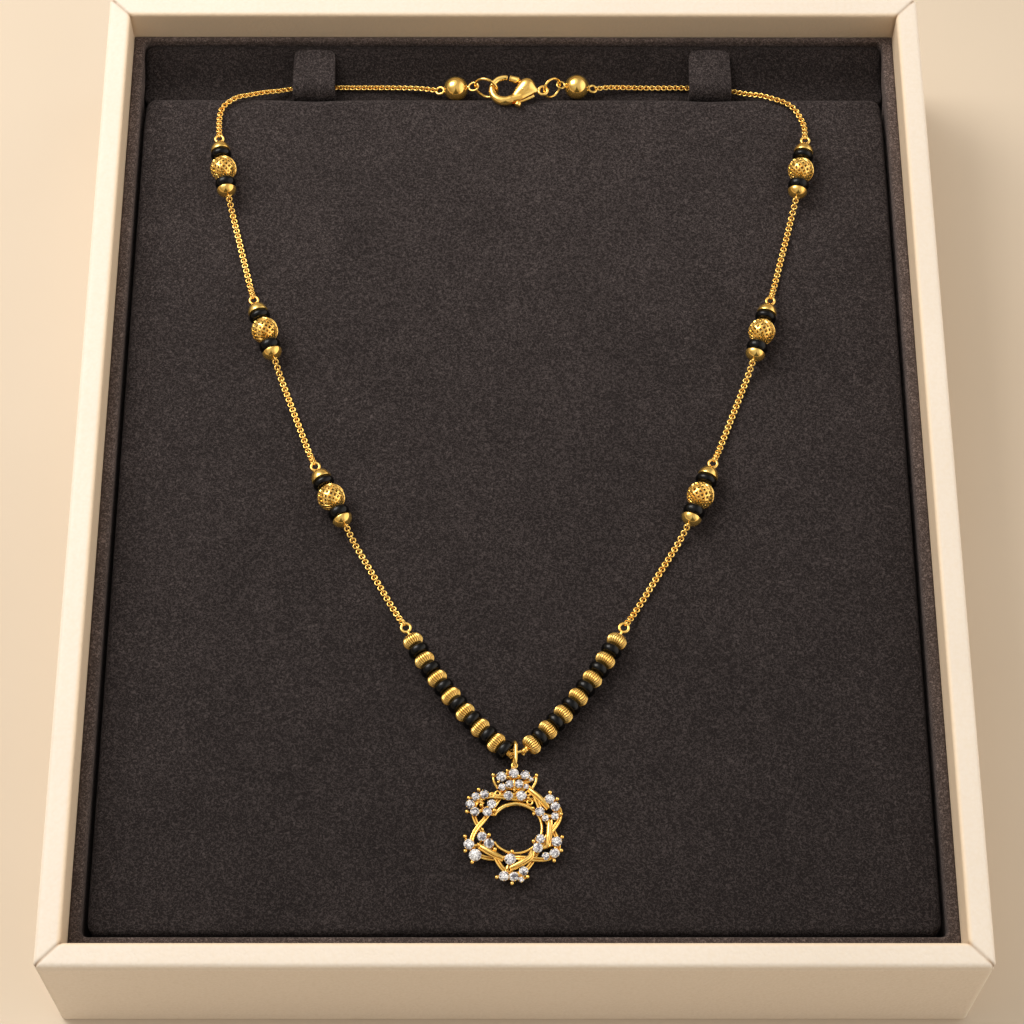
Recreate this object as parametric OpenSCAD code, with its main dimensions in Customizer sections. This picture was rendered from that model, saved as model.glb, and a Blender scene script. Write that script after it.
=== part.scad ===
/* [Box] */
// Outer width of the case
box_w = 178; // [176:1:184]
// Outer depth of the case, front to back
box_d = 220; // [218:1:226]
// Outer height of the case
box_h = 36; // [36:1:44]
// Width of the flat rim, which is also the wall
rim_w = 4.8; // [4:0.1:5]
// Thickness of the case's floor
floor_t = 3; // [2:0.5:4]
// Radius of the case's upright edges
case_edge_r = 1; // [0.5:0.25:2]
// Depth of the suede ledge below the rim
ledge_drop = 7.8; // [7:0.1:9]
// Width of the ledge along the sides
ledge_side = 2.3; // [2:0.1:2.5]
// Width of the ledge along the front
ledge_front = 3.5; // [2.5:0.1:4]
// Width of the ledge along the back
ledge_back = 1.1; // [1:0.1:1.2]

/* [Pad and cushion] */
// Depth of the pad's top below the ledge
pad_drop = 1.4; // [1:0.1:2]
// Gap between the pad and the ledge
pad_gap = 0.9; // [0.5:0.1:1.2]
// Where the pad ends at the back, from the middle of the case
pad_back = 90.1; // [89.9:0.1:90.1]
// Radius of the pad's back shoulder
shoulder_r = 2.3; // [2:0.1:2.3]
// Radius of the pad's corners, seen from above
pad_corner_r = 2.5; // [1:0.5:4]
// Depth of the trough behind the pad
trough_depth = 3.2; // [3.2:0.1:4]
// Width of the tongues that hold the chain
tab_w = 9.5; // [8:0.5:10]
// Thickness of the tongues
tab_t = 1.2; // [1:0.1:1.2]

/* [Chain and stations] */
// Radius of the fine chain's outer form
chain_r = 0.7; // [0.6:0.05:0.75]
// Radius of a station's filigree ball
ball_r = 2.7; // [2.5:0.05:2.7]
// Radius of a station's black beads
station_bead_r = 2; // [1.8:0.1:2.2]
// Length of a station's black beads along their pin
station_bead_l = 2.1; // [1.8:0.1:2.1]
// Radius of a station's gold caps
cap_r = 1.9; // [1.6:0.1:2]
// Length of a station's gold caps
cap_l = 1.7; // [1.4:0.1:1.7]
// Distance from the middle of a station to its eyes
eye_reach = 7.4; // [7.4:0.1:7.8]

/* [Beaded front] */
// Radius of the fluted gold beads
gold_r = 2.1; // [1.9:0.05:2.1]
// Length of the fluted gold beads
gold_l = 2.5; // [2.3:0.05:2.5]
// Radius of the black beads between them
black_r = 1.82; // [1.7:0.01:1.9]
// Length of the black beads between them
black_l = 1.85; // [1.6:0.05:1.9]

/* [Clasp] */
// Radius of the polished end balls
end_ball_r = 2.55; // [2.4:0.05:2.55]
// Lift of the clasp's middle above the pad
clasp_rise = 1.3; // [1.3:0.1:1.6]
// Slope of the clasp, back edge up
clasp_tilt = 8; // [8:1:10]

/* [Pendant] */
// Radius of the wire ring around the opening
ring_r = 5; // [4.9:0.05:5.1]
// Mean radius of the two woven wires
weave_r = 7; // [6.9:0.05:7.1]
// How far the woven wires swing in and out
weave_swing = 2; // [1.8:0.1:2.1]
// Radius of the wires
wire_r = 0.38; // [0.3:0.02:0.4]

/* [Hidden] */
$fn = 48;
gap = 0.05;
half_w = box_w / 2;
half_d = box_d / 2;
ledge_z = box_h - ledge_drop;
pad_z = ledge_z - pad_drop;
trough_z = pad_z - trough_depth;
tray_z = floor_t + gap;
tray_t = 1.5;
foam_z = tray_z + tray_t + gap;
tray_x = half_w - rim_w - ledge_side;
tray_front = -half_d + rim_w + ledge_front;
tray_back = half_d - rim_w - ledge_back;
pad_x = tray_x - pad_gap;
pad_front = tray_front + pad_gap;

// Rear cushion: foot and top of its slope, in y and above the trough
slope_foot_y = 95.6;
slope_top_y = 101;
slope_rise = 3.5;
cushion_edge = 0.8;

// Middle of each tongue
tab_left_x = -44;
tab_right_x = 43.4;
tab_top_y = 101.8;
tab_inner_r = 1.6;
tab_corner_r = 2;

// Chain between two eyes: steps, the run in which it comes down, and its dip at the eye
settle_steps = 9;
settle_run = 5;
settle_dip = 0.15;
ROPE_SIDES = 8;

// Eyes: middle radius and wire radius
eye_r = 0.85;
eye_wire = 0.22;
pin_r = 0.4;
bore_r = 0.48;

// Stations: x, y, and lean of the pin from the straight way to the front, in degrees
STATION_X = 0;
STATION_Y = 1;
STATION_LEAN = 2;
LEFT_STATIONS = [[-62.6, 69.6, 11], [-52.3, 29.3, 19], [-37.3, -9.7, 26]];
RIGHT_STATIONS = [[62.1, 69.3, -10], [52, 29.1, -20], [38, -9.2, -21]];

// Clasp run: x, y and rise above the pad of the end balls' middles, and their eyes
ball_left = [-12.7, 92.5, -0.6];
ball_right = [14, 93, -0.6];
ball_eye_reach = 3.6;
left_inner_reach = 4;
left_inner_eye_r = 1.05;
ball_axis_rise = 12;

// Routes of the chains that round the pad's back corners: x, y, rise above the pad
LEFT_ROUTE = [
    [-21, 93.5, -1.9], [-27, 94, -2.4], [-35, 94, -2.4], [-44, 94, -2.4], [-49, 93.5, -2.2],
    [-52, 92.5, -1.5], [-55, 91.5, -0.6], [-58, 90.3, 0.2], [-60.5, 89.3, 0.8], [-62.5, 88, 0.8],
    [-63.8, 86.5, 0.8], [-64.3, 84.3, 0.9], [-64.3, 81.5, 1.4]
];
RIGHT_ROUTE = [
    [21.5, 93.8, -1.9], [30, 94, -2.4], [38, 94, -2.4], [44, 93.5, -2.4], [48.3, 93, -2.2],
    [51.2, 91.7, -1.3], [54.4, 90.3, 0.1], [57, 89, 0.8], [59.7, 87.9, 0.8], [61.6, 86.3, 0.8],
    [62.8, 83.9, 0.9], [63.5, 81.2, 1.4]
];

// Beaded front: radius and middles of its two curves, angle of their first gold beads,
// bead pitches and counts
strand_r = 84;
strand_mid_left = [54, -1.8];
strand_mid_right = [-53.7, -1.8];
strand_start = 208;
left_pitch = 4.53;
right_pitch = 4.62;
GOLD_COUNT = 7;
LEFT_BLACKS = 7;
RIGHT_BLACKS = 6;
strand_rise = gold_r + gap;
strand_wire_r = 0.3;
strand_eye_r = 1;
strand_eye_ahead = 3.2;
strand_tail = 1.3;
STRAND_STEPS = 14;
gold_bulge = 1.04;

// Pendant: middle of its opening, and the levels above the pad
pend = [0.3, -80.1];
weave_rise = 0.97;
weave_lift = 0.36;
weave_phase = 3;
RING_STEPS = 30;
WEAVE_STEPS = 38;
WIRE_SIDES = 5;
LINK_SIDES = 4;
STEM_SIDES = 3;
CUP_SIDES = 7;
TIP_SIDES = 6;
EYE_STEPS = 12;
STONE_STEPS = 24;
cup_foot_rise = 0.64;
cup_top = 1.5;
cup_foot_share = 0.32;
cup_mouth_share = 0.44;
link_r = 0.27;
link_climb = 0.03;
tip_r = 0.38;
tip_rise = 1.75;
tip_stem_r = 0.23;
tip_stem_top = 1.33;
bar_end_r = 0.3;
bar_end_rise = 1.25;
bar_mid_r = 0.5;
bar_mid_rise = 1.65;
bar_bow = 1.04;
bail_mid_y = -64.75;
bail_rise = 1.95;
bail_wire = 0.48;
bail_bend_r = 1.37;
bail_half_straight = 0.75;
hang_eye_y = -66.87;
hang_eye_r = 0.8;
hang_eye_wire = 0.24;

// Stone: clearance over its cup, height, girdle, and widths of its culet and table as shares
// of its radius
stone_clear = 0.09;
stone_h = 0.72;
girdle_low = 0.32;
girdle_high = 0.42;
culet_share = 0.5;
table_share = 0.6;

// Stones: angle and distance from the middle of the opening, and diameter
STONE_ANGLE = 0;
STONE_DISTANCE = 1;
STONE_SIZE = 2;
CROWN_STONES = [
    [92, 11.2, 1.9], [105, 11, 1.7], [77, 10.9, 1.7], [97, 9.5, 1.7], [86, 9.5, 1.7],
    [108, 8.7, 1.5], [76, 8.7, 1.3], [103, 6.9, 1.7], [84, 6.8, 1.7]
];
UPPER_LEFT_STONES = [
    [141, 10.3, 1.6], [131, 9.6, 1.6], [151, 10.2, 1.7], [158, 8.9, 1.7], [133, 7.2, 1.7], [148, 6.7, 1.7]
];
UPPER_RIGHT_STONES = [[42, 9.1, 1.7], [30, 9.1, 1.8], [19, 8.3, 1.4], [35, 6.1, 1.8], [20, 6.6, 1.2]];
LOWER_RIGHT_STONES = [
    [-22, 5.6, 1.6], [-42, 5.8, 1.7], [-18, 8.3, 1.7], [-31, 8.9, 1.8], [-42, 8.4, 1.5]
];
LOWER_LEFT_STONES = [[-168, 6.8, 1.7], [-151, 6.1, 1.7], [-162, 9.7, 1.7], [-148, 9.5, 1.9]];
BOTTOM_STONES = [[-101, 6.2, 1.8], [-104, 9.5, 1.9], [-92, 9.7, 1.7], [-79, 8.3, 1.6], [-82, 9.8, 1.2]];
CLUSTERS = [
    CROWN_STONES, UPPER_LEFT_STONES, UPPER_RIGHT_STONES,
    LOWER_RIGHT_STONES, LOWER_LEFT_STONES, BOTTOM_STONES
];
STONES = [for (cluster = CLUSTERS) each cluster];

// Prong tips: angle and distance
TIPS = [
    [113, 12], [68, 11.8], [135, 11.2], [147, 11.5], [160, 10.3], [140, 5.6], [145, 8.6],
    [48, 9.9], [36, 10.3], [22, 9.5], [-34, 4.6], [-10, 9], [-24, 9.8], [-38, 9.9],
    [-171, 9.9], [-155, 10.9], [-140, 10.1], [-176, 5.7], [-138, 5.8],
    [-94, 4.9], [-111, 10.2], [-98, 10.9], [-73, 9.4]
];

// Polished bars over the crossings: angle and distance of both ends
BARS = [
    [[-150, 7.6], [-111, 6.5]], [[-98, 7.9], [-58, 6.1]],
    [[13, 6.3], [-28, 6.9]], [[70, 8.2], [35, 7.3]]
];

// Clasp, in its own plane: x towards the tail, y towards the back of the case
clasp_at = [-0.3, 90.7];
hook_mid = [-1.55, 0.2];
hook_r = 2.9;
hook_wire = 0.68;
hook_tip_angle = 60;
hook_root_angle = 290;
hook_root_r = 0.78;
spine_mid = [1.6, -1.5];
spine_r = 0.9;
belly_mid = [2.9, 1.6];
belly_r = 1.85;
tail_mid = [4.6, 0];
tail_r = 0.8;
tail_eye_mid = [6.8, 0];
tail_eye_r = 0.95;
tail_eye_wire = 0.3;
tail_rod_r = 0.5;
pivot = [2.4, -0.1];
pivot_pin_r = 0.38;
pivot_play = 0.04;
pivot_pin_l = 2;
BODY_STEPS = 32;
seam_angle = 135;
seam_r = 4.25;
lever_hub_r = 0.75;
lever_t = 0.84;
lever_bend = [1.5, 2.3];
lever_bend_r = 0.56;
lever_tip = [-0.85, 3.06];
lever_arm_r = 0.48;
knob_mid = [1.2, -3.42];
knob_r = 0.7;
knob_arm_r = 0.36;
slot_low = [0.1, -3.2];
slot_high = [3.4, 2.95];
slot_t = 0.94;

// Jump rings: both ends of their middle lines, x, y and rise, then their roll and wire
left_ring_ends = [[-8.37, 92.5, 0.27], [-3.6, 91, 1.25]];
left_ring_roll = 77;
left_ring_wire = 0.33;
right_ring_ends = [[6.74, 90.7, 1.3], [10.25, 93, 0.15]];
right_ring_roll = 68;
right_ring_wire = 0.28;

function unit(v) = v / norm(v);
function polar(angle, distance) = distance * [cos(angle), sin(angle)];
function above_pad(p) = [p[0], p[1], pad_z + p[2]];
function eye_place(station, side) =
    let (reach = side * eye_reach, lean = station[STATION_LEAN])
    [station[STATION_X] + reach * sin(lean), station[STATION_Y] - reach * cos(lean), ball_r + gap];

// Steps from one eye to the next: straight in plan, coming down to lie on the pad
function settled(a, b, far_eye_r) =
    let (
        run = norm([b[0] - a[0], b[1] - a[1]]),
        first = eye_r + eye_wire + 2 * gap,
        last = run - far_eye_r - eye_wire - 2 * gap
    )
    [for (i = [0 : settle_steps])
        let (
            along = first + (last - first) * (1 - cos(180 * i / settle_steps)) / 2,
            near = min(along - first, last - along),
            fall = pow(max(0, 1 - near / settle_run), 2),
            share = along / run,
            low = chain_r + gap,
            top = (share < 0.5 ? a[2] : b[2]) - settle_dip
        )
        [a[0] + (b[0] - a[0]) * share, a[1] + (b[1] - a[1]) * share, low + (top - low) * fall]];

// Tubes along a list of points, open or closed on itself
function ring_point(p, forward, r, angle) =
    let (side = unit(cross(forward, [0, 0, 1])), up = cross(side, forward))
    p + r * (cos(angle) * side + sin(angle) * up);
function tube_walls(rings, sides, closed) =
    [for (i = [0 : rings - (closed ? 1 : 2)], s = [0 : sides - 1])
        let (next = (i + 1) % rings, after = (s + 1) % sides)
        [i * sides + s, i * sides + after, next * sides + after, next * sides + s]];

module tube(points, r, sides) {
    last = len(points) - 1;
    skin = [for (i = [0 : last], s = [0 : sides - 1])
        let (forward = unit(points[min(i + 1, last)] - points[max(i - 1, 0)]))
        ring_point(points[i], forward, r, 360 * s / sides)];
    ends = [[for (s = [sides - 1 : -1 : 0]) s], [for (s = [0 : sides - 1]) last * sides + s]];
    polyhedron(skin, concat(tube_walls(last + 1, sides, false), ends));
}

module loop_tube(points, r, sides) {
    count = len(points);
    skin = [for (i = [0 : count - 1], s = [0 : sides - 1])
        let (forward = unit(points[(i + 1) % count] - points[(i + count - 1) % count]))
        ring_point(points[i], forward, r, 360 * s / sides)];
    polyhedron(skin, tube_walls(count, sides, true));
}

module torus(r, wire) {
    rotate_extrude() translate([r, 0]) circle(wire);
}

module rod_x(low, high, r) {
    translate([low, 0, 0]) rotate([0, 90, 0]) cylinder(h = high - low, r = r);
}

module rounded_plate(low, high, r) {
    span = high - low;
    translate(low) {
        translate([r, 0, 0]) cube([span[0] - 2 * r, span[1], span[2]]);
        translate([0, r, 0]) cube([span[0], span[1] - 2 * r, span[2]]);
        for (x = [r, span[0] - r], y = [r, span[1] - r])
            translate([x, y, 0]) cylinder(h = span[2], r = r);
    }
}

// Straight bar between two points of the plane
module flat_bar(a, b, r) {
    translate(a) rotate(atan2(b[1] - a[1], b[0] - a[0])) translate([0, -r]) square([norm(b - a), 2 * r]);
}

// Beads, with their bore along x
module round_bead(r, l) {
    rotate([0, 90, 0]) rotate_extrude() intersection() {
        translate([bore_r, -l / 2]) square([r - bore_r, l]);
        union() {
            translate([r - l / 2, 0]) circle(l / 2);
            translate([0, -l / 2]) square([r - l / 2, l]);
        }
    }
}

module barrel_bead(r, l) {
    bulge = gold_bulge * l;
    rotate([0, 90, 0]) rotate_extrude() intersection() {
        translate([bore_r, -l / 2]) square([r - bore_r, l]);
        translate([r - bulge, 0]) circle(bulge);
    }
}

module box_shell() {
    color("antiquewhite") difference() {
        rounded_plate([-half_w, -half_d, 0], [half_w, half_d, box_h], case_edge_r);
        translate([rim_w - half_w, rim_w - half_d, floor_t])
            cube([box_w - 2 * rim_w, box_d - 2 * rim_w, box_h]);
    }
}

module liner_tray() {
    outer_x = half_w - rim_w - gap;
    outer_y = half_d - rim_w - gap;
    color("dimgray") difference() {
        translate([-outer_x, -outer_y, tray_z])
            cube([2 * outer_x, 2 * outer_y, ledge_z - tray_z]);
        translate([-tray_x, tray_front, tray_z + tray_t])
            cube([2 * tray_x, tray_back - tray_front, box_h]);
    }
}

module display_pad() {
    color("dimgray") intersection() {
        rounded_plate([-pad_x, pad_front, foam_z], [pad_x, pad_back, pad_z], pad_corner_r);
        translate([-pad_x, 0, 0]) rotate([90, 0, 90]) linear_extrude(2 * pad_x) {
            translate([pad_front, foam_z]) square([pad_back - pad_front, pad_z - shoulder_r - foam_z]);
            translate([pad_front, foam_z])
                square([pad_back - shoulder_r - pad_front, pad_z - foam_z]);
            translate([pad_back - shoulder_r, pad_z - shoulder_r]) circle(shoulder_r);
        }
    }
}

module rear_cushion() {
    front = pad_back + 2 * gap;
    back = tray_back - gap;
    color("dimgray") translate([gap - tray_x, 0, 0]) rotate([90, 0, 90])
        linear_extrude(2 * (tray_x - gap)) polygon([
            [front, foam_z], [back, foam_z], [back, trough_z + slope_rise - cushion_edge],
            [back - cushion_edge, trough_z + slope_rise], [slope_top_y, trough_z + slope_rise],
            [slope_foot_y, trough_z], [front, trough_z]
        ]);
}

// Tongue that stands up behind the pad, bends back and lies over the chain
module tab(x) {
    outer_r = tab_inner_r + tab_t;
    root_y = pad_back + 2 * gap;
    bend = [root_y + outer_r, trough_z + slope_rise + 2 * gap - tab_inner_r];
    color("dimgray") intersection() {
        translate([x - tab_w / 2, 0, 0]) rotate([90, 0, 90]) linear_extrude(tab_w) {
            translate([root_y, trough_z + gap]) square([tab_t, bend[1] - trough_z - gap]);
            translate([bend[0], bend[1] + tab_inner_r]) square([tab_top_y - bend[0], tab_t]);
            intersection() {
                difference() {
                    translate(bend) circle(outer_r);
                    translate(bend) circle(tab_inner_r);
                }
                translate([root_y, bend[1]]) square(outer_r);
            }
        }
        rounded_plate(
            [x - tab_w / 2, root_y - 2 * tab_corner_r, 0], [x + tab_w / 2, tab_top_y, box_h], tab_corner_r
        );
    }
}

module chain(points) {
    color("goldenrod") tube([for (p = points) above_pad(p)], chain_r, ROPE_SIDES);
}

// The chain that runs from an end ball round the pad's corner to the first station
module corner_chain(ball, side, route, station) {
    outer_eye = [
        ball[0] + side * ball_eye_reach * cos(ball_axis_rise), ball[1],
        ball[2] - ball_eye_reach * sin(ball_axis_rise)
    ];
    station_eye = eye_place(station, -1);
    clear = eye_r + eye_wire + 3 * gap;
    start = outer_eye + clear * unit(route[0] - outer_eye);
    end = station_eye + clear * unit(route[len(route) - 1] - station_eye);
    chain(concat([start], route, [end]));
}

module straight_chain(upper, lower) {
    chain(settled(eye_place(upper, 1), eye_place(lower, -1), eye_r));
}

// The chain from the last station to the eye of the beaded front
module front_chain(side, station) {
    eye = strand_place(side, -strand_eye_ahead);
    chain(settled(eye_place(station, 1), [eye[0], eye[1], strand_rise], strand_eye_r));
}

module at_station(station) {
    translate([station[STATION_X], station[STATION_Y], pad_z + ball_r + gap])
        rotate([0, 0, station[STATION_LEAN] - 90]) children();
}

module station_cap() {
    foot = ball_r + station_bead_l + 2 * gap;
    translate([foot, 0, 0]) rotate([0, 90, 0]) rotate_extrude()
        polygon(concat([[0, 0]], [for (a = [0 : 15 : 75]) [cap_r * cos(a), cap_l * sin(a)]], [[0, cap_l]]));
}

module station_frame(station) {
    color("goldenrod") at_station(station) {
        rod_x(eye_r - eye_reach, eye_reach - eye_r, pin_r);
        for (side = [0, 1]) mirror([side, 0, 0]) {
            station_cap();
            translate([eye_reach, 0, 0]) torus(eye_r, eye_wire);
        }
    }
}

module station_ball(station) {
    color("gold") at_station(station) rotate([0, 90, 0]) rotate_extrude() intersection() {
        translate([bore_r, -ball_r]) square([ball_r, 2 * ball_r]);
        circle(ball_r);
    }
}

module station_beads(station) {
    middle = ball_r + gap + station_bead_l / 2;
    color("black") at_station(station)
        for (side = [-1, 1]) translate([side * middle, 0, 0]) round_bead(station_bead_r, station_bead_l);
}

// A place on the beaded front, by its distance past the first gold bead
function strand_angle(along) = strand_start + along / strand_r * 180 / PI;
function strand_place(side, along) =
    let (a = strand_angle(along), mid = side < 0 ? strand_mid_left : strand_mid_right)
    mid + strand_r * [-side * cos(a), sin(a)];
module on_strand(side, along) {
    at = strand_place(side, along);
    turn = strand_angle(along) + 90;
    translate([at[0], at[1], pad_z + strand_rise])
        rotate([0, 0, side < 0 ? turn : 180 - turn]) children();
}

// Points of one half of the strand's wire, from its eye towards the middle
function strand_half(side, length) =
    let (first = strand_eye_r - strand_eye_ahead)
    [for (i = [0 : STRAND_STEPS])
        let (at = strand_place(side, first + (length - first) * i / STRAND_STEPS))
        [at[0], at[1], pad_z + strand_rise]];

// One wire from eye to eye through both halves
module strand_wire() {
    left = strand_half(-1, (GOLD_COUNT - 0.5) * left_pitch + strand_tail);
    right = strand_half(1, (GOLD_COUNT - 1) * right_pitch + strand_tail + black_l / 4);
    color("goldenrod") {
        tube(concat(left, [for (i = [STRAND_STEPS : -1 : 0]) right[i]]), strand_wire_r, ROPE_SIDES);
        for (side = [-1, 1]) on_strand(side, -strand_eye_ahead) torus(strand_eye_r, eye_wire);
    }
}

module strand_blacks(side, pitch, count) {
    color("black") for (i = [0 : count - 1])
        on_strand(side, (i + 0.5) * pitch) round_bead(black_r, black_l);
}

module gold_bead(side, pitch, i) {
    color("gold") on_strand(side, i * pitch) barrel_bead(gold_r, gold_l);
}

// Polished ball with a soldered eye at each end; its axis climbs towards the clasp
module end_ball(ball, side, inner_reach, inner_eye_r) {
    mirrored = side < 0 ? 1 : 0;
    color("gold") translate(above_pad(ball)) mirror([mirrored, 0, 0]) rotate([0, ball_axis_rise, 0]) {
        sphere(end_ball_r);
        rod_x(inner_eye_r - inner_reach, ball_eye_reach - eye_r, pin_r);
        translate([ball_eye_reach, 0, 0]) torus(eye_r, eye_wire);
        translate([-inner_reach, 0, 0]) torus(inner_eye_r, eye_wire);
    }
}

// A ring whose middle line runs through both given places
module jump_ring(ends, roll, wire) {
    a = above_pad(ends[0]);
    b = above_pad(ends[1]);
    way = b - a;
    color("goldenrod") translate((a + b) / 2)
        rotate([0, -asin(way[2] / norm(way)), atan2(way[1], way[0])]) rotate([roll, 0, 0])
            torus(norm(way) / 2, wire);
}

module at_clasp() {
    translate([clasp_at[0], clasp_at[1], pad_z + clasp_rise]) rotate([clasp_tilt, 0, 0]) children();
}

// Hook, cut square across the way to the pivot so that the lever's tip swings past it
module hook_arc() {
    difference() {
        translate(hook_mid) rotate([0, 0, hook_tip_angle])
            rotate_extrude(angle = hook_root_angle - hook_tip_angle)
                translate([hook_r, 0]) circle(hook_wire);
        translate(pivot) rotate([0, 0, seam_angle]) translate([0, -belly_r, -belly_r])
            cube([seam_r + pivot_play, 2 * belly_r, 2 * belly_r]);
    }
}

module clasp_body() {
    hook_root = hook_mid + polar(hook_root_angle, hook_r);
    color("gold") at_clasp() {
        difference() {
            union() {
                hook_arc();
                hull($fn = BODY_STEPS) {
                    translate(hook_root) sphere(hook_root_r);
                    translate(spine_mid) sphere(spine_r - gap);
                }
                hull($fn = BODY_STEPS) {
                    translate(spine_mid) sphere(spine_r);
                    translate(belly_mid) sphere(belly_r);
                    translate(tail_mid) sphere(tail_r);
                }
            }
            translate([slot_low[0], slot_low[1], -slot_t / 2])
                cube([slot_high[0] - slot_low[0], slot_high[1] - slot_low[1], slot_t]);
        }
        translate([pivot[0], pivot[1], -pivot_pin_l / 2]) cylinder(h = pivot_pin_l, r = pivot_pin_r);
        translate([tail_mid[0], tail_mid[1], 0])
            rod_x(0, tail_eye_mid[0] - tail_eye_r - tail_mid[0], tail_rod_r);
        translate(tail_eye_mid) torus(tail_eye_r, tail_eye_wire);
    }
}

module lever_outline() {
    difference() {
        union() {
            translate(pivot) circle(lever_hub_r);
            flat_bar(pivot, lever_bend, lever_arm_r);
            translate(lever_bend) circle(lever_bend_r);
            intersection() {
                flat_bar(lever_bend, lever_tip, lever_arm_r);
                translate(pivot) circle(seam_r);
            }
            flat_bar(pivot, knob_mid, knob_arm_r);
        }
        translate(pivot) circle(pivot_pin_r + pivot_play);
    }
}

module clasp_lever() {
    color("goldenrod") at_clasp() {
        translate([0, 0, -lever_t / 2]) linear_extrude(lever_t) lever_outline();
        translate(knob_mid) sphere(knob_r);
    }
}

module pendant_bail() {
    color("goldenrod") translate([pend[0], bail_mid_y, pad_z + bail_rise]) rotate([0, 90, 0]) {
        for (side = [-1, 1]) {
            translate([0, side * bail_half_straight, 0]) rotate([0, 0, side < 0 ? 180 : 0])
                rotate_extrude(angle = 180) translate([bail_bend_r, 0]) circle(bail_wire);
            translate([side * bail_bend_r, -bail_half_straight, 0])
                rotate([-90, 0, 0]) cylinder(h = 2 * bail_half_straight, r = bail_wire);
        }
    }
}

function wire_ring(steps) = [for (i = [0 : steps - 1])
    let (at = polar(360 * i / steps, ring_r))
    [at[0], at[1], weave_rise]];
function woven(side, steps) = [for (i = [0 : steps - 1])
    let (
        a = 360 * i / steps,
        wave = 3 * (a + weave_phase),
        at = polar(a, weave_r + side * weave_swing * sin(wave))
    )
    [at[0], at[1], weave_rise + side * weave_lift * cos(wave)]];

module round_tip(at, r) {
    translate(at) sphere(r, $fn = TIP_SIDES);
}

function stone_at(stone) = polar(stone[STONE_ANGLE], stone[STONE_DISTANCE]);
function nearest_stone(at) =
    let (reach = [for (stone = STONES) norm(stone_at(stone) - at)], least = min(reach))
    [for (i = [0 : len(STONES) - 1]) if (reach[i] == least) stone_at(STONES[i])][0];

// Cups of one cluster, joined one to the next and to the woven wires below them by links
// that climb, so that their edges don't meet
module cup_cluster(stones) {
    for (i = [0 : len(stones) - 1]) {
        at = stone_at(stones[i]);
        foot = stone_at(stones[max(i - 1, 0)]) * (i == 0 ? 0.8 : 1);
        level = weave_rise + i * link_climb;
        size = stones[i][STONE_SIZE];
        translate([at[0], at[1], cup_foot_rise])
            cylinder(
                h = cup_top - cup_foot_rise, $fn = CUP_SIDES,
                r1 = cup_foot_share * size, r2 = cup_mouth_share * size
            );
        tube([[at[0], at[1], level], [foot[0], foot[1], level - link_climb]], link_r, LINK_SIDES);
    }
}

module pendant_bar(ends) {
    middle = bar_bow * (ends[0] + ends[1]) / 2;
    for (end = ends) hull() {
        round_tip([end[0], end[1], bar_end_rise], bar_end_r);
        round_tip([middle[0], middle[1], bar_mid_rise], bar_mid_r);
    }
}

// Prong tip on a stem that leans out from the cup nearest to it
module prong(at) {
    root = nearest_stone(at);
    round_tip([at[0], at[1], tip_rise], tip_r);
    tube([[root[0], root[1], weave_rise], [at[0], at[1], tip_stem_top]], tip_stem_r, STEM_SIDES);
}

// Flat ring above the crown, on a post that stands clear of the first stone
module hanging_eye() {
    crown = stone_at(CROWN_STONES[0]);
    eye = [0, hang_eye_y - pend[1]];
    post = [0, eye[1] - hang_eye_r];
    translate([eye[0], eye[1], bail_rise])
        rotate_extrude($fn = EYE_STEPS) translate([hang_eye_r, 0]) circle(hang_eye_wire, $fn = TIP_SIDES);
    translate([post[0], post[1], weave_rise])
        cylinder(h = bail_rise - weave_rise, r = hang_eye_wire, $fn = TIP_SIDES);
    tube([[post[0], post[1], weave_rise], [crown[0], crown[1], weave_rise]], link_r, LINK_SIDES);
}

module pendant_frame() {
    color("gold") translate([pend[0], pend[1], pad_z]) {
        loop_tube(wire_ring(RING_STEPS), wire_r, WIRE_SIDES);
        for (side = [-1, 1]) loop_tube(woven(side, WEAVE_STEPS), wire_r, WIRE_SIDES);
        for (bar = BARS) pendant_bar([for (end = bar) polar(end[0], end[1])]);
        for (cluster = CLUSTERS) cup_cluster(cluster);
        for (tip = TIPS) prong(polar(tip[0], tip[1]));
        hanging_eye();
    }
}

module stone(size) {
    r = size / 2;
    rotate_extrude($fn = STONE_STEPS) polygon([
        [0, 0], [culet_share * r, 0], [r, girdle_low], [r, girdle_high],
        [table_share * r, stone_h], [0, stone_h]
    ]);
}

module pendant_stones() {
    color("lavender") translate([pend[0], pend[1], pad_z + cup_top + stone_clear]) for (s = STONES)
        translate(stone_at(s)) stone(s[STONE_SIZE] - 2 * gap);
}

box_shell();
liner_tray();
display_pad();
rear_cushion();
tab(tab_left_x);  // tab_left
tab(tab_right_x);  // tab_right
corner_chain(ball_left, -1, LEFT_ROUTE, LEFT_STATIONS[0]);  // chain_left_1
straight_chain(LEFT_STATIONS[0], LEFT_STATIONS[1]);  // chain_left_2
straight_chain(LEFT_STATIONS[1], LEFT_STATIONS[2]);  // chain_left_3
front_chain(-1, LEFT_STATIONS[2]);  // chain_left_4
corner_chain(ball_right, 1, RIGHT_ROUTE, RIGHT_STATIONS[0]);  // chain_right_1
straight_chain(RIGHT_STATIONS[0], RIGHT_STATIONS[1]);  // chain_right_2
straight_chain(RIGHT_STATIONS[1], RIGHT_STATIONS[2]);  // chain_right_3
front_chain(1, RIGHT_STATIONS[2]);  // chain_right_4
for (i = [0 : 2]) {
    left = str("station_left_", i + 1);
    right = str("station_right_", i + 1);
    station_frame(LEFT_STATIONS[i]);
    station_ball(LEFT_STATIONS[i]);
    station_beads(LEFT_STATIONS[i]);
    station_frame(RIGHT_STATIONS[i]);
    station_ball(RIGHT_STATIONS[i]);
    station_beads(RIGHT_STATIONS[i]);
}
strand_wire();
strand_blacks(-1, left_pitch, LEFT_BLACKS);  // strand_black_left
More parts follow.
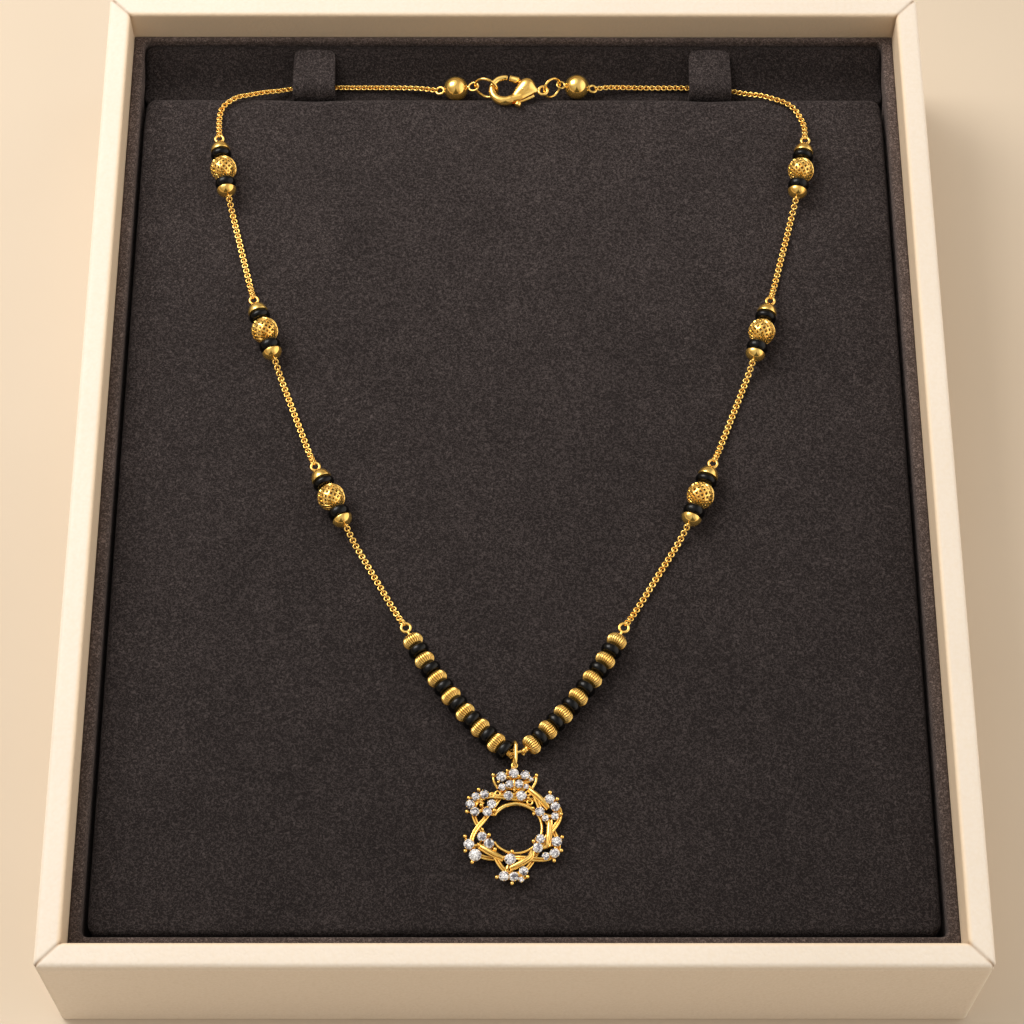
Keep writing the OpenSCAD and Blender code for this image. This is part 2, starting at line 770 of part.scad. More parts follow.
strand_blacks(1, right_pitch, RIGHT_BLACKS);  // strand_black_right
for (i = [0 : GOLD_COUNT - 1]) {
    gold_bead(-1, left_pitch, i);
    gold_bead(1, right_pitch, i);
}
end_ball(ball_left, -1, left_inner_reach, left_inner_eye_r);  // end_ball_left
end_ball(ball_right, 1, ball_eye_reach, eye_r);  // end_ball_right
jump_ring(left_ring_ends, left_ring_roll, left_ring_wire);  // jump_ring_left
jump_ring(right_ring_ends, right_ring_roll, right_ring_wire);  // jump_ring_right
clasp_body();
clasp_lever();
pendant_bail();
pendant_frame();
pendant_stones();
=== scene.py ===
import math

import bmesh
import bpy
import numpy as np
from mathutils import Matrix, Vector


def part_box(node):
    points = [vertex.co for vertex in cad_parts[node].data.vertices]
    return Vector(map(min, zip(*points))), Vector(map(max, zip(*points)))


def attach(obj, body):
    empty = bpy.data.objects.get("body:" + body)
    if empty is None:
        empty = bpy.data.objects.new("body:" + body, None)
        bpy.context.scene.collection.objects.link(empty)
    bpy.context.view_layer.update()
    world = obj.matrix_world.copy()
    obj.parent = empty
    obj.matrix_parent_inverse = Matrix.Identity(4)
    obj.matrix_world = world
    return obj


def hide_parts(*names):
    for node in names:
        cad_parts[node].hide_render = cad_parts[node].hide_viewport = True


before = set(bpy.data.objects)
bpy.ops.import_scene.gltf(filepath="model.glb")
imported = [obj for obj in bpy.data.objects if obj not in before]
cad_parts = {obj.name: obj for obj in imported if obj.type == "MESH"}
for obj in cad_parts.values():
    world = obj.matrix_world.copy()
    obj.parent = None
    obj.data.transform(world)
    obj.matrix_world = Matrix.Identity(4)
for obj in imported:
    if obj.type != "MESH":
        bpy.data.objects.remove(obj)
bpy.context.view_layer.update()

MM = 0.001
SIDES = {"left": -1, "right": 1}
UP = (0, 0, 1)


def box_of(node):
    """Lowest and highest corner of a CAD node, in millimetres."""
    low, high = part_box(node)
    return np.array(low) / MM, np.array(high) / MM


def middle_of(node):
    low, high = box_of(node)
    return (low + high) / 2


def unit(v):
    """A vector, or each row of several, at length one."""
    return np.asarray(v, float) / np.linalg.norm(v, axis=-1, keepdims=True)


def crossways(way):
    """The level direction across a way, and the one over it."""
    across = unit(np.cross(UP, way))
    return across, np.cross(way, across)


# Sizes shared by several pieces
PLAY = 0.05
CASE_LOW, CASE_HIGH = box_of("box_shell")
TRAY_LOW, TRAY_HIGH = box_of("liner_tray")
PAD_LOW, PAD_HIGH = box_of("display_pad")
CUSHION_LOW, CUSHION_HIGH = box_of("rear_cushion")
PAD_Z = PAD_HIGH[2]
RIM = CASE_HIGH[0] - TRAY_HIGH[0] - PLAY


def new_object(name, data):
    made = bpy.data.objects.new(name, data)
    bpy.context.scene.collection.objects.link(made)
    return made


def stand(made, at, *axes):
    """Puts a camera or light at a place, with its own axes along three directions."""
    turn = Matrix(np.column_stack(axes).tolist()).to_4x4()
    made.matrix_world = Matrix.Translation([c * MM for c in at]) @ turn


# Camera, with its angles in degrees and its lens in millimetres

CAMERA_AT = (-1.87, -252.65, 517.3)
CAMERA_DOWN, CAMERA_YAW, CAMERA_ROLL = 63.86, 0.351, 0.341
CAMERA_LENS, CAMERA_SENSOR = 94.33, 36
CAMERA_NEAR = 0.01


def make_camera():
    """Camera turned down, then aside, then rolled about its view."""
    down, yaw, roll = np.radians((CAMERA_DOWN, CAMERA_YAW, CAMERA_ROLL))
    forward = np.array([math.sin(yaw) * math.cos(down), math.cos(yaw) * math.cos(down), -math.sin(down)])
    level = np.array([math.cos(yaw), -math.sin(yaw), 0])
    upright = np.cross(level, forward)
    right = math.cos(roll) * level + math.sin(roll) * upright
    up = math.cos(roll) * upright - math.sin(roll) * level
    data = bpy.data.cameras.new("camera")
    data.lens = CAMERA_LENS
    data.sensor_width = CAMERA_SENSOR
    data.clip_start = CAMERA_NEAR
    camera = new_object("camera", data)
    stand(camera, CAMERA_AT, right, up, -forward)
    bpy.context.scene.camera = camera


# Meshes: a made shape is its points and its faces

SAME_POINT = 1e-6


def mesh_of(name, parts, scale=1.0, skins=()):
    """Parts as one mesh, its faces turned outward. A part is a shape's points and faces, then
    where it needs them a skin, its place in the list of materials, and a mark, a number that a
    material can read at a point."""
    points, faces, places, marks = [], [], [], []
    count = 0
    for part in parts:
        at, rings, skin, mark = (*part, 0, 0.0)[:4]
        points.append(np.asarray(at, float))
        faces += [[i + count for i in ring] for ring in rings]
        places += [skin] * len(rings)
        marks.append(np.broadcast_to(np.asarray(mark, float), len(at)))
        count += len(at)
    mesh = bpy.data.meshes.new(name)
    mesh.from_pydata((np.concatenate(points) * scale).tolist(), [], faces)
    mesh.polygons.foreach_set("material_index", places)
    mesh.attributes.new("mark", "FLOAT", "POINT").data.foreach_set("value", np.concatenate(marks))
    for skin in skins:
        mesh.materials.append(skin)
    work = bmesh.new()
    work.from_mesh(mesh)
    bmesh.ops.remove_doubles(work, verts=work.verts, dist=SAME_POINT * scale)
    bmesh.ops.recalc_face_normals(work, faces=work.faces)
    work.to_mesh(mesh)
    work.free()
    return mesh


def piece(name, parts, skins, nodes, slot, body="root", sharp=40):
    """Makes one object from its parts, on a body, in place of the CAD nodes named."""
    mesh = mesh_of(name, parts, MM, skins)
    mesh.shade_smooth()
    mesh.set_sharp_from_angle(angle=math.radians(sharp))
    made = new_object(name, mesh)
    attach(made, body)
    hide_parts(*nodes)
    return made


def grid(rows, columns, wrap=False):
    """Quads over rows of points, each a ring; a wrap joins the last row to the first."""
    r, c = np.meshgrid(np.arange(rows if wrap else rows - 1), np.arange(columns), indexing="ij")
    r, c = r.ravel(), c.ravel()
    r2, c2 = (r + 1) % rows, (c + 1) % columns
    return np.c_[r * columns + c, r * columns + c2, r2 * columns + c2, r2 * columns + c].tolist()


def stack(rows):
    """Closed skin over rings of points, with a flat face at each end."""
    count, columns = len(rows), len(rows[0])
    ends = [list(range(columns)), [(count - 1) * columns + c for c in range(columns)]]
    return np.concatenate(rows), grid(count, columns) + ends


def directions(path, closed=False):
    """The way along a path at each of its points."""
    if closed:
        return unit(np.roll(path, -1, 0) - np.roll(path, 1, 0))
    return unit(np.gradient(path, axis=0))


def lengths(path):
    """How far along a path each of its points is."""
    return np.r_[0, np.cumsum(np.linalg.norm(np.diff(path, axis=0), axis=1))]


def carried(ahead, closed):
    """A sideways direction at each point of a path, carried along it without spin."""
    first = np.cross(ahead[0], UP)
    if np.linalg.norm(first) < 1e-3:
        first = np.cross(ahead[0], (0, 1, 0))
    sides = [unit(first)]
    for a in ahead[1:]:
        sides.append(unit(sides[-1] - a * (sides[-1] @ a)))
    sides = np.array(sides)
    if closed:
        home = unit(sides[-1] - ahead[0] * (sides[-1] @ ahead[0]))
        spin = math.atan2(np.cross(home, sides[0]) @ ahead[0], home @ sides[0])
        turn = (spin * np.arange(len(ahead)) / len(ahead))[:, None]
        sides = sides * np.cos(turn) + np.cross(ahead, sides) * np.sin(turn)
    return sides


def round_circle(steps):
    """Evenly spaced angles round a circle, in radians."""
    return np.arange(steps) * math.tau / steps


def tube(path, radius, sides=12, closed=False):
    """Tube along a path. The radius is one number or one for each point."""
    path = np.asarray(path, float)
    ahead = directions(path, closed)
    across = carried(ahead, closed)
    over = np.cross(across, ahead)
    a = round_circle(sides)[:, None]
    r = np.broadcast_to(radius, len(path))[:, None, None]
    rows = path[:, None] + r * (np.cos(a) * across[:, None] + np.sin(a) * over[:, None])
    return (rows.reshape(-1, 3), grid(len(path), sides, wrap=True)) if closed else stack(rows)


def lathe(profile, steps=48, closed=False, sunk=0.0):
    """Turns (radius, height) pairs round Z. Sunk is the share of the radius that each step round
    is drawn in by."""
    profile = np.asarray(profile, float)
    a = round_circle(steps)
    r = profile[:, 0, None] * (1 - sunk * np.ones(steps))
    z = np.repeat(profile[:, 1, None], steps, axis=1)
    points = np.stack([r * np.cos(a), r * np.sin(a), z], -1).reshape(-1, 3)
    return points, grid(len(profile), steps, wrap=closed)


def arc(middle, radius, start, stop, steps):
    """Points of an arc in a plane, by its angles in degrees."""
    a = np.radians(np.linspace(start, stop, steps))
    return np.asarray(middle) + radius * np.c_[np.cos(a), np.sin(a)]


def in_plane(path, z=0.0):
    return np.c_[np.asarray(path, float), np.full(len(path), z)]


def ball(radius, steps=24):
    return lathe(arc((0, 0), radius, -90, 90, steps // 2 + 1), steps)


def ring(radius, wire, steps=48, sides=16, gap=0.0):
    """Wire ring round Z; a gap of some degrees leaves it cut, with two flat ends."""
    if gap:
        return tube(in_plane(arc((0, 0), radius, gap / 2, 360 - gap / 2, steps)), wire, sides)
    return tube(in_plane(arc((0, 0), radius, 0, 360, steps + 1)[:-1]), wire, sides, closed=True)


def placed(made, at, ahead=UP, roll=0.0):
    """Turns a shape's Z to run ahead, rolls it about that by degrees, and moves it."""
    points, faces = made
    z = unit(ahead)
    x = np.cross(UP, z)
    x = unit(x) if np.linalg.norm(x) > 1e-6 else np.array([1.0, 0, 0])
    y = np.cross(z, x)
    a = math.radians(roll)
    x, y = x * math.cos(a) + y * math.sin(a), y * math.cos(a) - x * math.sin(a)
    return np.asarray(at) + points @ np.array([x, y, z]), faces


def resampled(path, count):
    """The same path with its points evenly spaced."""
    path = np.asarray(path, float)
    along = lengths(path)
    at = np.linspace(0, along[-1], count)
    return np.stack([np.interp(at, along, path[:, k]) for k in range(3)], -1)


def rod(a, b, radius, sides=12, count=6):
    """Straight wire from one point to another."""
    return tube(resampled([a, b], count), radius, sides)


def smoothed(path, count):
    """A smooth curve through a few points."""
    path = np.asarray(path, float)
    padded = np.vstack([2 * path[0] - path[1], path, 2 * path[-1] - path[-2]])
    out = []
    for i in range(1, len(padded) - 2):
        p0, p1, p2, p3 = padded[i - 1:i + 3]
        t = np.linspace(0, 1, 12, endpoint=False)[:, None]
        out.append(0.5 * (2 * p1 + (p2 - p0) * t + (2 * p0 - 5 * p1 + 4 * p2 - p3) * t ** 2
                          + (3 * p1 - p0 - 3 * p2 + p3) * t ** 3))
    return resampled(np.vstack(out + [path[-1:]]), count)


def bent(places, count, radius, sides=12):
    """Wire along a smooth curve through a few points."""
    return tube(smoothed(places, count), radius, sides)


# Materials

class Nodes:
    """A node tree and short ways to add to it. Lengths are millimetres."""

    def __init__(self, tree, space):
        self.tree = tree
        self.place = self.add("TexCoord").outputs[space]

    def add(self, kind, inputs=None, **settings):
        node = self.tree.nodes.new("ShaderNode" + kind)
        for key, value in settings.items():
            setattr(node, key, value)
        for key, value in (inputs or {}).items():
            if isinstance(value, bpy.types.NodeSocket):
                self.tree.links.new(value, node.inputs[key])
            else:
                node.inputs[key].default_value = value
        return node

    def axes(self):
        """The place's X, Y and Z, by name."""
        return self.add("SeparateXYZ", {0: self.place}).outputs

    def noise(self, size, detail=2.0, rough=0.5, bend=0.0):
        return self.add("TexNoise", {
            "Vector": self.place, "Scale": 1 / (size * MM), "Detail": detail,
            "Roughness": rough, "Distortion": bend}).outputs[0]

    def cells(self, size, feature):
        return self.add("TexVoronoi", {"Vector": self.place, "Scale": 1 / (size * MM)},
                        feature=feature).outputs["Distance"]

    def ramp(self, value, *stops):
        """Colours at positions from 0 to 1; a single number stands for a grey."""
        node = self.add("ValToRGB", {"Fac": value})
        points = node.color_ramp.elements
        while len(points) < len(stops):
            points.new(0.5)
        for point, (position, colour) in zip(points, stops):
            point.position = position
            point.color = (*np.broadcast_to(colour, 3), 1)
        return node.outputs["Color"]

    def math(self, operation, a, b=0.0, c=0.5):
        """One operation on two or three numbers; MULTIPLY_ADD adds half where no third is given."""
        return self.add("Math", {0: a, 1: b, 2: c}, operation=operation).outputs[0]

    def blend(self, share, a, b, mode="MIX"):
        node = self.add("Mix", {0: share, 6: a, 7: b}, data_type="RGBA", blend_type=mode)
        return node.outputs[2]

    def times(self, a, b):
        return self.blend(1.0, a, b, "MULTIPLY")


class Look(Nodes):
    """A material whose shader is fed by nodes."""

    def __init__(self, name, **settings):
        self.material = bpy.data.materials.new(name)
        self.material.use_nodes = True
        super().__init__(self.material.node_tree, "Object")
        self.shader = self.tree.nodes["Principled BSDF"]
        for socket, value in settings.items():
            self.shader.inputs[socket.replace("_", " ")].default_value = value

    def mark(self):
        return self.add("Attribute", attribute_name="mark").outputs["Fac"]

    def bump(self, height, depth, strength=1.0, under=None):
        inputs = {"Height": height, "Distance": depth * MM, "Strength": strength}
        if under is not None:
            inputs["Normal"] = under
        return self.add("Bump", inputs).outputs["Normal"]

    def feed(self, socket, value):
        self.tree.links.new(value, self.shader.inputs[socket])


LEATHER_TONES = (0.765, 0.675, 0.575), (0.805, 0.715, 0.615)
# Painted light and shade: the outer sides paler, the inner walls warmer and darker
OUTER_WALL_PAINTED_LIGHT, INNER_WALL_PAINTED_SHADE = (0.88, 0.77, 0.645, 1), (0.83, 0.66, 0.48, 1)
WORN_LEATHER, FOLD_TAN = (0.74, 0.62, 0.47, 1), (0.28, 0.15, 0.06, 1)
PEBBLE_SIZE, WRINKLE_SIZE, PATCH_SIZE = 0.62, 1.6, 38
PEBBLE_DEPTH, WRINKLE_DEPTH = 0.07, 0.16
METRE_IN_CM, MM_IN_CM = 100, 0.1  # insets in centimetres, to fit a ramp's 0 to 1


def leather():
    """Cream leatherette with a fine pebble grain. Painted light makes the outer sides paler and painted
    shade the inner walls warmer, by how far in they are, and folds are tan, where the mark is set."""
    look = Look("cream_leather_grain", Specular_IOR_Level=0.4)
    pebble = look.cells(PEBBLE_SIZE, "SMOOTH_F1")
    wrinkle = look.noise(WRINKLE_SIZE, detail=5, rough=0.6, bend=0.6)
    base = look.ramp(look.noise(PATCH_SIZE), *zip((0.3, 0.7), LEATHER_TONES))
    way = look.axes()
    edges = [look.math("SUBTRACT", float(high * MM), look.math("ABSOLUTE", way[axis]))
             for axis, high in zip("XY", CASE_HIGH)]
    inset = look.math("MULTIPLY", look.math("MINIMUM", *edges), METRE_IN_CM)
    wall = RIM * MM_IN_CM
    # Painted shade on the inner walls and painted light on the outer sides, by the inset
    inside = look.ramp(inset, (wall - 0.09, 0.0), (wall - 0.03, 1.0))
    outside = look.ramp(inset, (0.01, 1.0), (0.05, 0.0))
    base = look.blend(outside, base, OUTER_WALL_PAINTED_LIGHT)
    base = look.blend(inside, base, INNER_WALL_PAINTED_SHADE)
    worn = look.blend(look.ramp(pebble, (0.25, 0.0), (0.8, 0.3)), base, WORN_LEATHER)
    look.feed("Base Color", look.blend(look.mark(), worn, FOLD_TAN))
    look.feed("Roughness", look.ramp(wrinkle, (0.3, 0.42), (0.7, 0.58)))
    grain = look.bump(pebble, PEBBLE_DEPTH, 0.55)
    look.feed("Normal", look.bump(wrinkle, WRINKLE_DEPTH, 0.5, grain))
    return look.material


SHEEN_TINT = (0.80, 0.70, 0.70, 1)
FIBRE_CURL, FIBRE_GAP, CLOUD_SIZE = 0.62, 0.45, 15
FIBRE_DEPTH = 0.22
BACK_LIGHT_FADE = 4.5


def suede(name, low, high, sheen):
    """Suede: short curly fibres, lighter where they stand, over a dark base. Painted light makes it
    a little lighter towards the back."""
    look = Look(name, Roughness=0.92, Specular_IOR_Level=0.1, Sheen_Weight=sheen,
                Sheen_Roughness=0.4, Sheen_Tint=SHEEN_TINT)
    swirl = look.noise(FIBRE_CURL, detail=1.4, bend=1.0)
    away = look.math("ABSOLUTE", look.math("SUBTRACT", swirl, 0.5))
    curl = look.ramp(away, (0.0, 1.0), (0.09, 0.1))
    broken = look.ramp(look.noise(FIBRE_GAP, rough=0.6), (0.36, 0.2), (0.6, 1.0))
    nap = look.math("MULTIPLY", curl, broken)
    fibre = look.ramp(nap, (0.0, low), (0.85, high))
    cloud = look.ramp(look.noise(CLOUD_SIZE, detail=4, rough=0.6, bend=0.4), (0.3, 0.78), (0.7, 1.0))
    # Painted light: the colour grows lighter towards the back, where the key light comes from
    back = look.math("MULTIPLY_ADD", look.axes()["Y"], BACK_LIGHT_FADE)
    painted_back_light = look.ramp(back, (0.05, 0.58), (0.95, 1.0))
    look.feed("Base Color", look.times(fibre, look.times(cloud, painted_back_light)))
    look.feed("Normal", look.bump(nap, FIBRE_DEPTH, 0.8))
    return look.material


# Painted shade: a dull brown laid into grooves, where the mark is set
GROOVE_PAINTED_SHADE = (0.20, 0.085, 0.014, 1)
RUB_SIZE, GOLD_CLOUD, DENT_SIZE = 0.9, 3.5, 0.55


def gold(name, bright, deep, smooth, rough, dent=0.0):
    """Polished yellow metal: faint rub marks in its gloss, small dents where it is cast, and painted
    shade, a dull brown, in its grooves, where the mark is set."""
    look = Look(name, Metallic=0.86, Coat_Weight=0.75, Coat_IOR=1.65, Coat_Roughness=0.07)
    rub = look.noise(RUB_SIZE, detail=4, rough=0.65, bend=0.5)
    clean = look.ramp(look.noise(GOLD_CLOUD), (0.35, deep), (0.65, bright))
    look.feed("Base Color", look.blend(look.mark(), clean, GROOVE_PAINTED_SHADE))
    look.feed("Roughness", look.ramp(rub, (0.3, smooth), (0.75, rough)))
    if dent:
        look.feed("Normal", look.bump(look.noise(DENT_SIZE), dent, 0.5))
    return look.material


GLASS_TONES = (0.0012, 0.0012, 0.0012), (0.003, 0.003, 0.0032)


def black_glass():
    look = Look("black_bead_gloss", Specular_IOR_Level=0.14, Coat_Weight=0.2, Coat_Roughness=0.09)
    cloud = look.noise(1.3, detail=3)
    look.feed("Base Color", look.ramp(cloud, *zip((0.3, 0.8), GLASS_TONES)))
    look.feed("Roughness", look.ramp(cloud, (0.3, 0.14), (0.7, 0.22)))
    look.feed("Normal", look.bump(look.noise(0.8, detail=1), 0.02, 0.4))
    return look.material


# Painted reflections: the facets' colours, from dark to white, by their painted light
STONE_LIGHT_STOPS = ((0.0, (0.03, 0.028, 0.036)), (0.3, (0.26, 0.24, 0.29)),
               (0.55, (0.80, 0.78, 0.81)), (0.8, (1.0, 0.99, 0.98)))


def crystal():
    """Cut stone: each facet has its own painted light, standing in for reflections from the stone's
    inside, and a net of darker lines paints sparkle.
    """
    look = Look("clear_stone_facets", Roughness=0.03, IOR=1.85, Coat_Weight=0.15, Coat_Roughness=0.02)
    cloud = look.math("SUBTRACT", look.noise(0.4, detail=1), 0.5)
    facet_light = look.math("ADD", look.mark(), look.math("MULTIPLY", cloud, 0.3))
    # Painted sparkle: thin darker lines that break each facet into bright patches
    painted_sparkle = look.ramp(look.cells(0.5, "DISTANCE_TO_EDGE"), (0.03, 0.22), (0.14, 1.0))
    look.feed("Base Color", look.times(look.ramp(facet_light, *STONE_LIGHT_STOPS), painted_sparkle))
    return look.material


FLOOR_TONES = (0.625, 0.52, 0.40), (0.665, 0.56, 0.44)


def floor_card():
    look = Look("pale_floor", Roughness=0.6)
    look.feed("Base Color", look.ramp(look.noise(120, detail=3), *zip((0.3, 0.7), FLOOR_TONES)))
    return look.material


GOLD_TONES = (1.0, 0.665, 0.165), (1.0, 0.58, 0.105)
SHADED_TONES = (0.10, 0.042, 0.008), (0.05, 0.02, 0.005)
LEATHER = leather()
PAD_SUEDE = suede("charcoal_suede_nap", (0.019, 0.0147, 0.0147), (0.116, 0.094, 0.0925), 0.08)
# The rear cushion is the pad's suede painted darker: painted shade behind the pad
SHADED_CUSHION_SUEDE = suede("cushion_suede_painted_shade", (0.0105, 0.0078, 0.0075), (0.066, 0.052, 0.050), 0.07)
LEDGE_SUEDE = suede("dark_lining_nap", (0.074, 0.054, 0.048), (0.32, 0.245, 0.222), 0.1)
GOLD = gold("polished_gold", *GOLD_TONES, smooth=0.07, rough=0.15)
CAST_GOLD = gold("cast_gold", *GOLD_TONES, smooth=0.07, rough=0.16, dent=0.04)
SHADOW_GOLD = gold("shaded_gold", *SHADED_TONES, smooth=0.45, rough=0.6)
BLACK = black_glass()
STONE = crystal()


def gold_piece(name, parts, node, skins=(GOLD,), **settings):
    piece(name, parts, skins, [node], "polished_gold", **settings)


def black_piece(name, parts, node):
    piece(name, parts, [BLACK], [node], "black_bead")


# Box: rings of points round a rectangle, close together at the corners

CORNER_RUN = 8.5
CORNER_STOPS = CORNER_RUN * (np.arange(14) / 13) ** 2.2
SIDE_STEP = 8.0
SEAM_WIDTH, SEAM_DARKENS = 0.42, 1.6
NO_SEAM = (0, 0)


def rounded(local, half, corner):
    """Points of a rectangle about its middle, drawn in where its corners are round."""
    past = np.abs(local) - (half - corner)
    rounding = (past > 0).all(axis=1) & (corner > 0)
    scale = past.max(axis=1) / np.maximum(np.hypot(*past.T), 1e-9)
    bent = np.sign(local) * ((half - corner) + past * scale[:, None])
    return np.where(rounding[:, None], bent, local)


def rectangle(low, high, corner, counts):
    """Ring of points on a rectangle with rounded corners, and how near each is to a corner, as a
    groove's share from 0 to 1. Counts keep rings of different sizes alike."""
    x0, y0, x1, y1 = *low, *high
    turns = np.array([(x0, y0), (x1, y0), (x1, y1), (x0, y1)], float)
    points, near = [], []
    for i, start in enumerate(turns):
        stop = turns[(i + 1) % 4]
        length = np.linalg.norm(stop - start)
        inner = np.linspace(CORNER_RUN, length - CORNER_RUN, counts[i % 2])[1:-1]
        along = np.concatenate([CORNER_STOPS, inner, length - CORNER_STOPS[:0:-1]])
        points.append(start + (stop - start) / length * along[:, None])
        near.append(np.minimum(along, length - along))
    middle, half = (turns[2] + turns[0]) / 2, (turns[2] - turns[0]) / 2
    local = rounded(np.vstack(points) - middle, half, corner)
    return middle + local, np.exp(-(np.concatenate(near) / SEAM_WIDTH) ** 2)


SHORT_COUNTS = (90, 14)


def short_rectangle(low, high, corner):
    """As rectangle, for a piece too narrow for the long corner runs, and without the shares."""
    half = (np.asarray(high) - low) / 2
    middle = (np.asarray(high) + low) / 2
    stops = []
    for size, count in zip(half, SHORT_COUNTS):
        a = np.linspace(-1, 1, count)
        stops.append(size * np.sign(a) * (1 - (1 - np.abs(a)) ** 1.5))
    xs, ys = stops
    ring_of_four = [(xs[:-1], -half[1]), (half[0], ys[:-1]), (xs[:0:-1], half[1]), (-half[0], ys[:0:-1])]
    local = np.vstack([np.column_stack(np.broadcast_arrays(x, y)) for x, y in ring_of_four])
    return middle + rounded(local, half, corner)


def stops_for(low, high):
    """How many points each side of the largest ring takes between its corners."""
    return [int((h - l - 2 * CORNER_RUN) / SIDE_STEP) for l, h in zip(low, high)]


def lumps(x, y):
    """Slow waves of a hand-covered board, from -1 to 1."""
    return (np.sin(0.11 * x + 0.7 * np.sin(0.05 * y)) + np.sin(0.083 * y + 1.3) + np.sin(0.19 * (x - y))) / 3


def box_rings(rows, counts):
    """Rings for rows of (low, high, height, corner, seam), and the mark at each point: the seam is
    how far its groove sinks inward and down."""
    rings, marks = [], []
    for low, high, z, corner, (seam_in, seam_down) in rows:
        at, groove = rectangle(low, high, corner, counts)
        middle = (np.asarray(low) + high) / 2
        inward = np.sign(middle - at) * (groove * seam_in)[:, None]
        rings.append(np.c_[at + inward, z - groove * seam_down])
        marks.append(groove * min(1, SEAM_DARKENS * (abs(seam_in) + abs(seam_down))))
    return rings, np.concatenate(marks)


def quarter(radius, steps):
    """Offsets of a quarter round: how far in and how far down, from the upright face to the top."""
    a = np.radians(np.linspace(0, 90, steps))
    return np.c_[radius * (1 - np.cos(a)), radius * (1 - np.sin(a))]


RIM_OUTER_R, RIM_INNER_R = 0.95, 0.75
OUTER_SEAM, TOP_SEAM, LIP_SEAM, WALL_SEAM = (0.18, 0.26), (0, 0.26), (-0.10, 0.2), (-0.12, 0)
FOOT_R, FOOT_INSET = 0.9, 10.0
CASE_CORNER = 1.1
CASE_FLOOR = 3.0
WALL_BOW, WALL_FOOT = 0.06, 2.5
CREASE_DROP = 1.75
CREASE_PROFILE = [(0.02, -0.6), (0.10, -0.25), (0.34, 0.0), (0.306, 0.12)]
INNER_TUCK, INNER_TUCK_RISE = 0.04, 0.45


def make_case():
    """Four covered boards with mitred corners, in one skin from the foot over the rim and inside.
    Rows are (distance in, height, seam)."""
    top, tray = CASE_HIGH[2], TRAY_HIGH[2]
    crease = top - CREASE_DROP
    rows = [(FOOT_INSET, 0.0, NO_SEAM)]
    rows += [(i, d, NO_SEAM) for i, d in quarter(FOOT_R, 5)[::-1]]
    rows += [(WALL_BOW, z, NO_SEAM) for z in np.linspace(WALL_FOOT, crease - 1.2, 9)]
    rows += [(i, crease + up, NO_SEAM) for i, up in CREASE_PROFILE]
    rows += [(0.04, crease + 0.42, (0.04, 0)), (0, top - RIM_OUTER_R - 0.1, (0.1, 0))]
    rows += [(i, top - d, OUTER_SEAM) for i, d in quarter(RIM_OUTER_R, 6)]
    rows += [(i, top, TOP_SEAM) for i in np.linspace(RIM_OUTER_R, RIM - RIM_INNER_R, 6)[1:-1]]
    rows += [(RIM - i, top - d, LIP_SEAM) for i, d in quarter(RIM_INNER_R, 5)[::-1]]
    rows += [(RIM, z, WALL_SEAM) for z in np.linspace(top - 1.6, tray + 0.9, 5)]
    rows += [(RIM - INNER_TUCK, tray + INNER_TUCK_RISE, WALL_SEAM),
             (RIM, tray - 0.4, NO_SEAM), (RIM, CASE_FLOOR, NO_SEAM)]
    low, high = CASE_LOW[:2], CASE_HIGH[:2]
    rings, marks = box_rings([(low + i, high - i, z, max(CASE_CORNER - i, 0), seam) for i, z, seam in rows],
                             stops_for(low, high))
    piece("case_covered_boards", [(*stack(rings), 0, marks)], [LEATHER], ["box_shell"],
          "cream_leather", sharp=60)


LEDGE_R = 0.7
LEDGE_EDGE, LEDGE_FOOT_INSET = 0.3, 6
HOLE_SIDE, HOLE_FRONT, HOLE_BACK = 2.25, 3.45, 1.05
HOLE_CORNER = 1.5
TRAY_FLOOR = 1.5


def make_liner():
    """Suede ledge round the opening, with its walls and floor."""
    top, foot = TRAY_HIGH[2], TRAY_LOW[2]
    low, high = TRAY_LOW[:2], TRAY_HIGH[:2]
    hole_low = np.array([-TRAY_HIGH[0] + HOLE_SIDE, TRAY_LOW[1] + HOLE_FRONT])
    hole_high = np.array([TRAY_HIGH[0] - HOLE_SIDE, TRAY_HIGH[1] - HOLE_BACK])
    rows = [(low + i, high - i, z, corner, NO_SEAM) for i, z, corner in (
        (LEDGE_FOOT_INSET, foot, 0), (0, foot, LEDGE_EDGE),
        (0, top - LEDGE_EDGE, LEDGE_EDGE), (LEDGE_EDGE, top, LEDGE_EDGE))]
    for share in (0.35, 0.7):
        rows.append((low + LEDGE_EDGE + (hole_low - LEDGE_R - low - LEDGE_EDGE) * share,
                     high - LEDGE_EDGE + (hole_high + LEDGE_R - high + LEDGE_EDGE) * share,
                     top, 0.4 + share, (0, 0.1)))
    rows += [(hole_low - i, hole_high + i, top - d, HOLE_CORNER + i, (0, 0.1 if d < 0.3 else 0))
             for i, d in quarter(LEDGE_R, 6)[::-1]]
    rows += [(hole_low, hole_high, z, HOLE_CORNER, NO_SEAM) for z in (top - 3, top - 10, foot + TRAY_FLOOR)]
    rings, _ = box_rings(rows, stops_for(low, high))
    piece("suede_ledge", [stack(rings)], [LEDGE_SUEDE], ["liner_tray"], "dark_lining", sharp=60)


def smooth_step(low, high, x):
    t = np.clip((x - low) / (high - low), 0, 1)
    return t * t * (3 - 2 * t)


def dropped(inset, radius):
    """How far a rounded edge has fallen, at a distance in from its upright face."""
    left = np.clip(radius - inset, 0, None)
    return radius - np.sqrt(np.maximum(radius ** 2 - left ** 2, 0))


def suede_piece(name, rings, skin, node):
    return piece(name, [stack(rings)], [skin], [node], "charcoal_suede", sharp=70)


TAB_MIDDLES = {side: middle_of(f"tab_{side}")[0] for side in SIDES}
PAD_CORNER = 2.5
PAD_EDGE_R, PAD_BACK_R = 1.15, 2.3
PAD_CROWN, PAD_LUMP = 0.16, 0.05
TAB_PULL, TAB_PULL_WIDTH = 0.4, 5.5
PAD_INSETS = (0, 0.03, 0.1, 0.22, 0.4, 0.62, 0.9, 1.25, 1.7, 2.3, 3.2, 4.6, 7, 11, 17, 26, 38, 52, 64)


